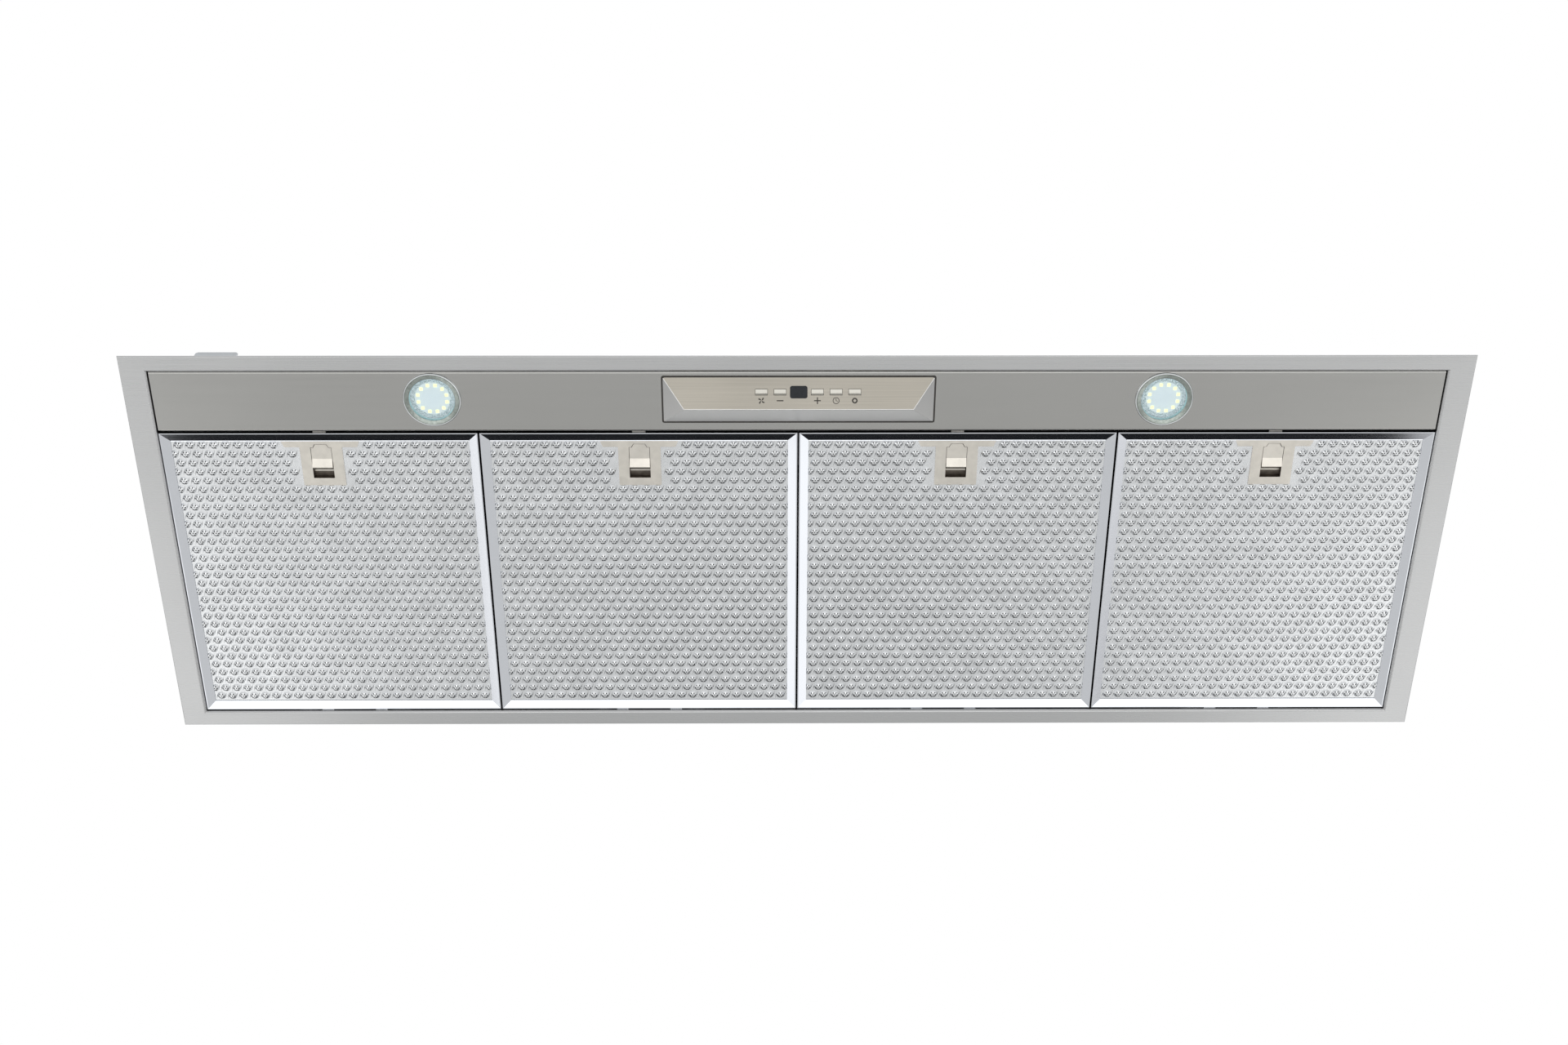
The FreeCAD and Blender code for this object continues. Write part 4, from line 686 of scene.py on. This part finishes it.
def lattice_tree(worked, blank, material):
    """Geometry Nodes: staggered cells, welded, trimmed to the sheet and given their thickness."""
    def product(a, b):
        return calc(tree, "MULTIPLY", a, b)

    def within(value, half):
        return calc(tree, "LESS_THAN", calc(tree, "ABSOLUTE", value), half)

    tree = bpy.data.node_groups.new("punched_sheet", "GeometryNodeTree")
    for name in ("Pitch X", "Pitch Y", "Height", "Thickness", "Middle", "Edge"):
        tree.interface.new_socket(name, in_out="INPUT", socket_type="NodeSocketFloat")
    tree.interface.new_socket("Geometry", in_out="OUTPUT", socket_type="NodeSocketGeometry")
    given = wired(tree, "NodeGroupInput").outputs
    pitch_x, pitch_y = given["Pitch X"], given["Pitch Y"]
    grid = wired(tree, "GeometryNodeMeshGrid", {
        "Size X": product(pitch_x, COLUMNS - 1.0), "Size Y": product(pitch_y, ROWS - 1.0),
        "Vertices X": COLUMNS, "Vertices Y": ROWS})
    row = calc(tree, "MODULO", wired(tree, "GeometryNodeInputIndex").outputs[0], float(ROWS))
    odd = calc(tree, "MODULO", row, 2.0)
    shift = wired(tree, "ShaderNodeCombineXYZ", {"X": product(product(odd, 0.5), pitch_x), "Y": SHEET_MIDDLE})
    placed = wired(tree, "GeometryNodeSetPosition", {"Geometry": grid.outputs[0], "Offset": shift.outputs[0]})
    place = wired(tree, "ShaderNodeSeparateXYZ", {0: wired(tree, "GeometryNodeInputPosition").outputs[0]})
    x, y = place.outputs[0], place.outputs[1]
    aside = calc(tree, "DIVIDE", calc(tree, "ABSOLUTE", x), pitch_x)
    cup_row = product(calc(tree, "GREATER_THAN", row, CUP_ROWS[0]), calc(tree, "LESS_THAN", row, CUP_ROWS[1]))
    cup = product(cup_row, calc(tree, "LESS_THAN", aside, CUP_COLUMNS))
    beyond = calc(tree, "GREATER_THAN", calc(tree, "DIVIDE", x, pitch_x), LAST_COLUMN)
    trimmed = wired(tree, "GeometryNodeDeleteGeometry", {
        "Geometry": placed.outputs[0],
        "Selection": calc(tree, "GREATER_THAN", calc(tree, "ADD", cup, beyond), 0.5)})
    under_plate = product(within(x, PLATE_HALF), calc(tree, "LESS_THAN", y, PLATE_REAR))
    under_wing = product(within(x, WING_HALF), calc(tree, "LESS_THAN", y, WING_REAR))
    covered = calc(tree, "MAXIMUM", under_plate, under_wing)
    rows_in = product(calc(tree, "GREATER_THAN", y, SHEET_FRONT + FRONT_MARGIN),
                      calc(tree, "LESS_THAN", y, SHEET_REAR - REAR_MARGIN))
    inside = product(rows_in, calc(tree, "LESS_THAN", aside, given["Edge"]))
    worked_here = product(inside, calc(tree, "SUBTRACT", 1.0, covered))
    joined = wired(tree, "GeometryNodeJoinGeometry")
    for cell, share in ((worked, worked_here), (blank, calc(tree, "SUBTRACT", 1.0, worked_here))):
        info = wired(tree, "GeometryNodeObjectInfo", {"Object": cell})
        copies = wired(tree, "GeometryNodeInstanceOnPoints", {
            "Points": trimmed.outputs[0], "Selection": calc(tree, "GREATER_THAN", share, 0.5),
            "Instance": info.outputs["Geometry"]})
        tree.links.new(copies.outputs[0], joined.inputs[0])
    real = wired(tree, "GeometryNodeRealizeInstances", {0: joined.outputs[0]})
    welded = wired(tree, "GeometryNodeMergeByDistance", {"Geometry": real.outputs[0], "Distance": CELL_WELD})
    spot = wired(tree, "GeometryNodeInputPosition").outputs[0]
    high_cut = wired(tree, "ShaderNodeVectorMath", {0: spot, 1: (SHEET_HALF, SHEET_REAR, 1.0)},
                     operation="MINIMUM")
    low_cut = wired(tree, "ShaderNodeVectorMath",
                    {0: high_cut.outputs[0], 1: (-SHEET_HALF, SHEET_FRONT, -1.0)}, operation="MAXIMUM")
    cut = wired(tree, "ShaderNodeSeparateXYZ", {0: low_cut.outputs[0]})
    pressed = wired(tree, "ShaderNodeCombineXYZ", {
        "X": cut.outputs[0], "Y": cut.outputs[1],
        "Z": product(cut.outputs[2], within(cut.outputs[0], RAIL_INSIDE))})
    lift = wired(tree, "ShaderNodeCombineXYZ", {"X": given["Middle"], "Z": given["Height"]})
    sheet = wired(tree, "GeometryNodeSetPosition", {
        "Geometry": welded.outputs[0], "Position": pressed.outputs[0], "Offset": lift.outputs[0]})
    rise = wired(tree, "ShaderNodeCombineXYZ", {"Z": given["Thickness"]})
    upper = wired(tree, "GeometryNodeExtrudeMesh", {"Mesh": sheet.outputs[0], "Offset": rise.outputs[0],
                                                    "Offset Scale": 1.0, "Individual": False}, mode="FACES")
    lower = wired(tree, "GeometryNodeFlipFaces", {"Mesh": sheet.outputs[0]})
    both = wired(tree, "GeometryNodeJoinGeometry")
    tree.links.new(upper.outputs[0], both.inputs[0])
    tree.links.new(lower.outputs[0], both.inputs[0])
    closed = wired(tree, "GeometryNodeMergeByDistance", {"Geometry": both.outputs[0], "Distance": WALL_WELD})
    solid = wired(tree, "GeometryNodeRealizeInstances", {0: closed.outputs[0]})
    dressed = wired(tree, "GeometryNodeSetMaterial", {"Geometry": solid.outputs[0], "Material": material})
    tree.links.new(dressed.outputs[0], wired(tree, "NodeGroupOutput").inputs[0])
    return tree


def grown(name, tree, values, points=()):
    """Runs a Geometry Nodes tree once, on points if it needs any, and keeps the result as a plain mesh."""
    seed = bpy.data.objects.new(name, bpy.data.meshes.new(name + "_seed"))
    seed.data.from_pydata([tuple(p) for p in points], [], [])
    bpy.context.scene.collection.objects.link(seed)
    modifier = seed.modifiers.new("grow", "NODES")
    modifier.node_group = tree
    for item in tree.interface.items_tree:
        if item.in_out == "INPUT" and item.name in values:
            modifier[item.identifier] = values[item.name]
    mesh = bpy.data.meshes.new_from_object(seed.evaluated_get(bpy.context.evaluated_depsgraph_get()))
    seed.modifiers.remove(modifier)
    seed.data = mesh
    return seed


bright_sheet = mottled("bright_sheet", SHEET_COLOUR, 1.0, 0.25, 0.02, (0.93, 1.05))
tree = bright_sheet.node_tree
flecks = noise(tree, [FLECK_SIZE] * 3, detail=3.0)
worn(tree, flecks, 0.18, 0.36)
embossed(tree, flecks, 0.06, 0.0002)
bright_layer = plain_finish("bright_layer", LAYER_COLOUR, 0.35, 0.55)
tree = bright_layer.node_tree
strands = noise(tree, STRAND_SIZE)
tinted(tree, strands, shaded(LAYER_COLOUR, 0.62), LAYER_COLOUR, 0.35, 0.5)
embossed(tree, strands, 0.4, 0.0006)

dome, hole, plain = dome_tile(), holed_tile(), plain_tile()
sheets = (("face", lattice_tree(dome, plain, bright_sheet), FACE_BOTTOM, FACE_EDGE),
          ("layer", lattice_tree(plain, plain, bright_layer), LAYER_BOTTOM, INNER_EDGE),
          ("back", lattice_tree(hole, plain, bright_sheet), BACK_BOTTOM, INNER_EDGE))
for number in FILTERS:
    for part, lattice, height, edge in sheets:
        sheet = grown("filter_%d_%s" % (number, part), lattice, {
            "Pitch X": DOME_PITCH_X, "Pitch Y": DOME_PITCH_Y, "Thickness": SHEET_THICK,
            "Height": height, "Edge": edge, "Middle": filter_middle(number)})
        kept(sheet, "filter_%d" % number, "filter_sheet", "filter_mesh_%d" % number)

# ------------------------------------------------------------------ filter latches
# A nickel-plated T-shaped plate with a window, through which a fingertip draws back a sliding
# tongue. A wave spring of bent strip pushes the tongue into the fascia's slot again.
NICKEL_COLOUR = (0.68, 0.645, 0.585, 1)
# Painted shade: the faces of the finger cup above this height take a dark colour.
CUP_SHADE_COLOUR, CUP_SHADE_LOW = (0.15, 0.13, 0.11, 1), 0.0042

nickel = mottled("nickel", NICKEL_COLOUR, 1.0, 0.36, 0.008, (0.94, 1.05))
worn(nickel.node_tree, noise(nickel.node_tree, [0.0008] * 3, detail=3.0), 0.30, 0.44)
cup_painted_shade = mottled("cup_painted_shade", CUP_SHADE_COLOUR, 1.0, 0.4, 0.004, (0.8, 1.2))
for number in FILTERS:
    body, plate, slide = "filter_%d" % number, "latch_plate_%d" % number, "latch_slide_%d" % number
    latch_plate = softened(plate, body + "_latch_plate", 0.15, [nickel, cup_painted_shade])
    # The inside of the finger cup gets the painted shade.
    for face in latch_plate.data.polygons:
        face.material_index = int(face.center.z > CUP_SHADE_LOW)
    kept(latch_plate, body, "latch", plate)
    tongue = softened(slide, "latch_%d_tongue" % number, 0.25, [nickel], segments=3, crisp=MITRE_ANGLE)
    kept(tongue, "latch_%d" % number, "latch", slide)
    dress(spring_steel, "latch_spring_%d" % number)

# ------------------------------------------------------------------ housing
# A tray of galvanised sheet folded up from the opening, with side panels spot-welded in. Four
# bent tabs on its walls centre it in the cabinet's cut-out.
ZINC_COLOUR, CRYSTALS = (0.50, 0.515, 0.53, 1), 130.0
WELDS, WELD_FRONT, WELD_PITCH, WELD_INSET, ROOF = 5, -0.10, 0.06, 0.0075, 0.090
WELD_SPOT = ((0, 0.10), (2.0, 0.10), (2.6, 0.28), (3.1, 0.24), (3.4, -0.1), (0, -0.1))


def galvanised_sheet():
    """Zinc spangle: flat crystals of slightly different brightness, with a satin bloom."""
    material = plain_finish("galvanised", ZINC_COLOUR, 1.0, 0.42)
    tree = material.node_tree
    place = wired(tree, "ShaderNodeTexCoord")
    crystals = wired(tree, "ShaderNodeTexVoronoi", {"Vector": place.outputs["Object"], "Scale": CRYSTALS})
    share = wired(tree, "ShaderNodeSeparateColor", {0: crystals.outputs["Color"]}).outputs[0]
    tinted(tree, share, shaded(ZINC_COLOUR, 0.94), shaded(ZINC_COLOUR, 1.05), 0.0, 1.0)
    worn(tree, share, 0.39, 0.46, 0.0, 1.0)
    embossed(tree, noise(tree, [0.03] * 3), 0.08, 0.002)
    return material


def dots_tree(stamp, material):
    """Geometry Nodes: sets one copy of a small part on every vertex it is given."""
    tree = bpy.data.node_groups.new("set_on_points", "GeometryNodeTree")
    tree.interface.new_socket("Geometry", in_out="INPUT", socket_type="NodeSocketGeometry")
    tree.interface.new_socket("Size", in_out="INPUT", socket_type="NodeSocketFloat")
    tree.interface.new_socket("Geometry", in_out="OUTPUT", socket_type="NodeSocketGeometry")
    given = wired(tree, "NodeGroupInput").outputs
    info = wired(tree, "GeometryNodeObjectInfo", {"Object": stamp})
    copies = wired(tree, "GeometryNodeInstanceOnPoints", {
        "Points": given["Geometry"], "Instance": info.outputs["Geometry"], "Scale": given["Size"]})
    real = wired(tree, "GeometryNodeRealizeInstances", {0: copies.outputs[0]})
    dressed = wired(tree, "GeometryNodeSetMaterial", {"Geometry": real.outputs[0], "Material": material})
    tree.links.new(dressed.outputs[0], wired(tree, "NodeGroupOutput").inputs[0])
    return tree


def stamp_from(name, shell, smooth=False):
    """A small part that only serves to be repeated, so it is kept out of the scene."""
    bmesh.ops.recalc_face_normals(shell, faces=shell.faces)
    for face in shell.faces:
        face.smooth = smooth
    mesh = bpy.data.meshes.new(name)
    shell.to_mesh(mesh)
    shell.free()
    return bpy.data.objects.new(name, mesh)


zinc = galvanised_sheet()
for name, width in (("housing_shell", 0.3), ("side_panel_left", 0.2), ("side_panel_right", 0.2),
                    ("locating_tabs", 0.3), ("control_cover", 0.3)):
    kept(softened(name, name + "_folded", width, [zinc]), "housing", "housing", name)

weld_shell = bmesh.new()
turned(weld_shell, WELD_SPOT, (0, 0, 0), steps=16)
weld = stamp_from("weld_spot", weld_shell, smooth=True)
wall_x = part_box("housing_shell")[1].x - WELD_INSET
roof_spots = [(side * wall_x, WELD_FRONT + step * WELD_PITCH, ROOF)
              for side in (-1, 1) for step in range(WELDS)]
kept(grown("weld_spots", dots_tree(weld, zinc), {"Size": 1.0}, roof_spots), "housing", "housing")

# ------------------------------------------------------------------ blower
# A deep box of the same sheet holds a scroll of rolled strip. Inside, a double-inlet wheel
# turns on the shaft of a capacitor motor that three arms carry in the left inlet.
MOTOR_COLOUR = (0.030, 0.033, 0.037, 1)
CAPACITOR_COLOUR = (0.62, 0.62, 0.60, 1)
FAN_Y, FAN_Z = 40.0, 182.0
# Motor profile as (distance behind the rear or front face, radius) in mm, with cast ribs between.
MOTOR_BOSS, SHAFT_DEPTH, SHAFT_BORE = 7, 14, 4.05
MOTOR_REAR = ((12, 0), (12, 4.4), (0, 4.4), (0, 12), (0, 33), (1.2, 38), (4, 40.9))
MOTOR_FRONT = ((-3.5, 40.9), (-0.6, 39.5), (0, 36), (0, 13), (MOTOR_BOSS, 13), (MOTOR_BOSS, SHAFT_BORE))
RIBS, RIB_START, RIB_PITCH = 12, 9, 4.2
RIB_GROOVE = ((0, 40.9), (0.5, 39.6), (2.2, 39.6), (2.7, 40.9))

for name, width in (("blower_box", 0.4), ("scroll_housing", 0.2), ("motor_bracket", 0.25),
                    ("inlet_ring", 0.1)):
    kept(softened(name, name + "_pressed", width, [zinc]), "housing", "galvanised", name)
dress(zinc, "impeller")
motor_enamel = mottled("motor_enamel", MOTOR_COLOUR, 0.0, 0.38, 0.0012, (0.8, 1.5), detail=3.0,
                       relief=(0.15, 0.0003))
can = bmesh.new()
rear, front = [corner.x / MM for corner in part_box("motor_body")]
front -= MOTOR_BOSS
profile = [(radius, rear + x) for x, radius in MOTOR_REAR]
for rib in range(RIBS):
    profile += [(radius, rear + RIB_START + rib * RIB_PITCH + x) for x, radius in RIB_GROOVE]
profile += [(radius, front + x) for x, radius in MOTOR_FRONT]
profile += [(SHAFT_BORE, rear + SHAFT_DEPTH), (0, rear + SHAFT_DEPTH)]
turned(can, profile[::-1], (0, FAN_Y * MM, FAN_Z * MM), "X")
kept(finished("motor_can", can, [motor_enamel]), "housing", "motor", "motor_body")
capacitor_shell = mottled("capacitor_shell", CAPACITOR_COLOUR, 0.0, 0.35, 0.02, (0.93, 1.0))
kept(softened("capacitor", "run_capacitor", 0.8, [capacitor_shell], segments=3),
     "housing", "plastic", "capacitor")
dress(spring_steel, "motor_shaft", "damper_pin")

# ------------------------------------------------------------------ duct collar and damper
# The spigot is rolled from galvanised strip with a swage near its end that a hose clip grips.
# Two half-round flaps of the same sheet hang from a steel pin across it.
COLLAR_Y = 90.0
SPIGOT = ((73.5, 280), (74.5, 280), (74.5, 316.5), (75.1, 317.4), (75.4, 318.6), (75.1, 319.8), (74.5, 320.7),
          (74.5, 329.6), (74.3, 330), (73.7, 330), (73.5, 329.6), (73.5, 320.7), (74.1, 319.8),
          (74.4, 318.6), (74.1, 317.4), (73.5, 316.5))
BASE_HALF, BASE_CORNER, BASE_HOLE, BASE_HEIGHTS, BASE_STEPS = 86.5, 8.0, 73.6, (280.0, 281.0), 96


def base_outlines(height):
    """The rounded square and the round hole of the collar's base, point for point."""
    square, circle = [], []
    inner = BASE_HALF - BASE_CORNER
    for i in range(BASE_STEPS):
        turn = 2 * math.pi * (i + 0.5) / BASE_STEPS
        cosine, sine = math.cos(turn), math.sin(turn)
        reach = BASE_HALF / max(abs(cosine), abs(sine))
        x, y = reach * cosine, reach * sine
        if abs(x) > inner and abs(y) > inner:
            away = Vector((abs(x) - inner, abs(y) - inner)).normalized() * BASE_CORNER
            x, y = math.copysign(inner + away.x, x), math.copysign(inner + away.y, y)
        square.append(Vector((x, COLLAR_Y + y, height)) * MM)
        circle.append(Vector((BASE_HOLE * cosine, COLLAR_Y + BASE_HOLE * sine, height)) * MM)
    return square, circle


collar = bmesh.new()
turned(collar, SPIGOT, (0, COLLAR_Y * MM, 0), steps=128)
kept(finished("spigot", collar, [zinc]), "housing", "galvanised", "duct_collar")
(low_square, low_circle), (high_square, high_circle) = [base_outlines(height) for height in BASE_HEIGHTS]
base = bmesh.new()
looped(base, [low_square, high_square, high_circle, low_circle])
kept(finished("collar_base", base, [zinc]), "housing", "galvanised", "duct_collar")
for name, body in (("damper_flap_front", "damper_front"), ("damper_flap_rear", "damper_rear")):
    kept(softened(name, name + "_leaf", 0.12, [zinc]), body, "galvanised", name)

# ------------------------------------------------------------------ electrical entry and screws
# A lidded box of black-grey plastic takes the supply cable through a ribbed nylon gland. Sheet
# screws with pressed washers hold the blower's feet and the collar. The control board behind the
# fascia is green laminate.
BOX_COLOUR = (0.055, 0.057, 0.06, 1)
GLAND_COLOUR = (0.020, 0.021, 0.022, 1)
SCREW_COLOUR = (0.58, 0.58, 0.57, 1)
LAMINATE, TRACE_DARK, TRACE_PALE = (0.02, 0.09, 0.05, 1), (0.015, 0.06, 0.035, 1), (0.03, 0.13, 0.07, 1)
TRACE_SIZE = (0.004, 0.0008, 0.004)
GLAND_X, GLAND_Z = -320.0, 111.0
GLAND = ((4.2, 55), (8, 55), (8, 60), (11.0, 60.2), (11.0, 64.5), (10.4, 65), (10.4, 65.6), (10.9, 66),
         (10.9, 76), (10.2, 78.4), (8.6, 80.6), (6.4, 82), (4.2, 82))
WASHER = ((0, -0.05), (5.2, -0.05), (5.4, 0.2), (5.2, 0.5), (3.9, 0.7), (3.9, 0.72), (0, 0.72))
HEXAGONS = ((3.8, 0.7), (3.8, 2.2), (3.3, 2.4))
FOOT_X, FOOT_YS, FOOT_TOP = 0.156, (-0.043, 0.05875, 0.1605), 0.091
COLLAR_SCREW, COLLAR_SCREW_Y, COLLAR_TOP = 0.080, 0.090, 0.281


def screw_head():
    """A hexagon head with a pressed washer."""
    shell = bmesh.new()
    turned(shell, WASHER, (0, 0, 0), steps=24)
    turns = [math.pi * i / 3 for i in range(6)]
    rings = [[shell.verts.new(Vector((radius * math.cos(turn), radius * math.sin(turn), height)) * MM)
              for turn in turns] for radius, height in HEXAGONS]
    shell.faces.new(rings[0][::-1])
    shell.faces.new(rings[-1])
    for lower, upper in zip(rings, rings[1:]):
        for i in range(6):
            j = (i + 1) % 6
            shell.faces.new((lower[i], lower[j], upper[j], upper[i]))
    return stamp_from("screw_head", shell)


box_plastic = mottled("box_plastic", BOX_COLOUR, 0.0, 0.5, 0.0007, (0.85, 1.2), detail=3.0,
                      relief=(0.25, 0.0003))
gland_nylon = mottled("gland_nylon", GLAND_COLOUR, 0.0, 0.42, 0.001, (0.8, 1.4))
kept(softened("junction_box", "terminal_box", 0.8, [box_plastic], segments=3),
     "housing", "plastic", "junction_box")
gland = bmesh.new()
turned(gland, GLAND, (GLAND_X * MM, 0, GLAND_Z * MM), "Y", 48)
kept(finished("gland", gland, [gland_nylon]), "housing", "plastic", "cable_gland")

screw_metal = brushed("screw_metal", SCREW_COLOUR, rough=0.3)
screw_places = [(side * FOOT_X, y, FOOT_TOP) for side in (-1, 1) for y in FOOT_YS]
screw_places += [(right * COLLAR_SCREW, COLLAR_SCREW_Y + back * COLLAR_SCREW, COLLAR_TOP)
                 for right in (-1, 1) for back in (-1, 1)]
screws = grown("sheet_screws", dots_tree(screw_head(), screw_metal), {"Size": 1.0}, screw_places)
kept(screws, "housing", "steel", "screws")
board_green = plain_finish("board_green", LAMINATE, 0.0, 0.45)
tinted(board_green.node_tree, noise(board_green.node_tree, TRACE_SIZE), TRACE_DARK, TRACE_PALE)
dress(board_green, "control_board")
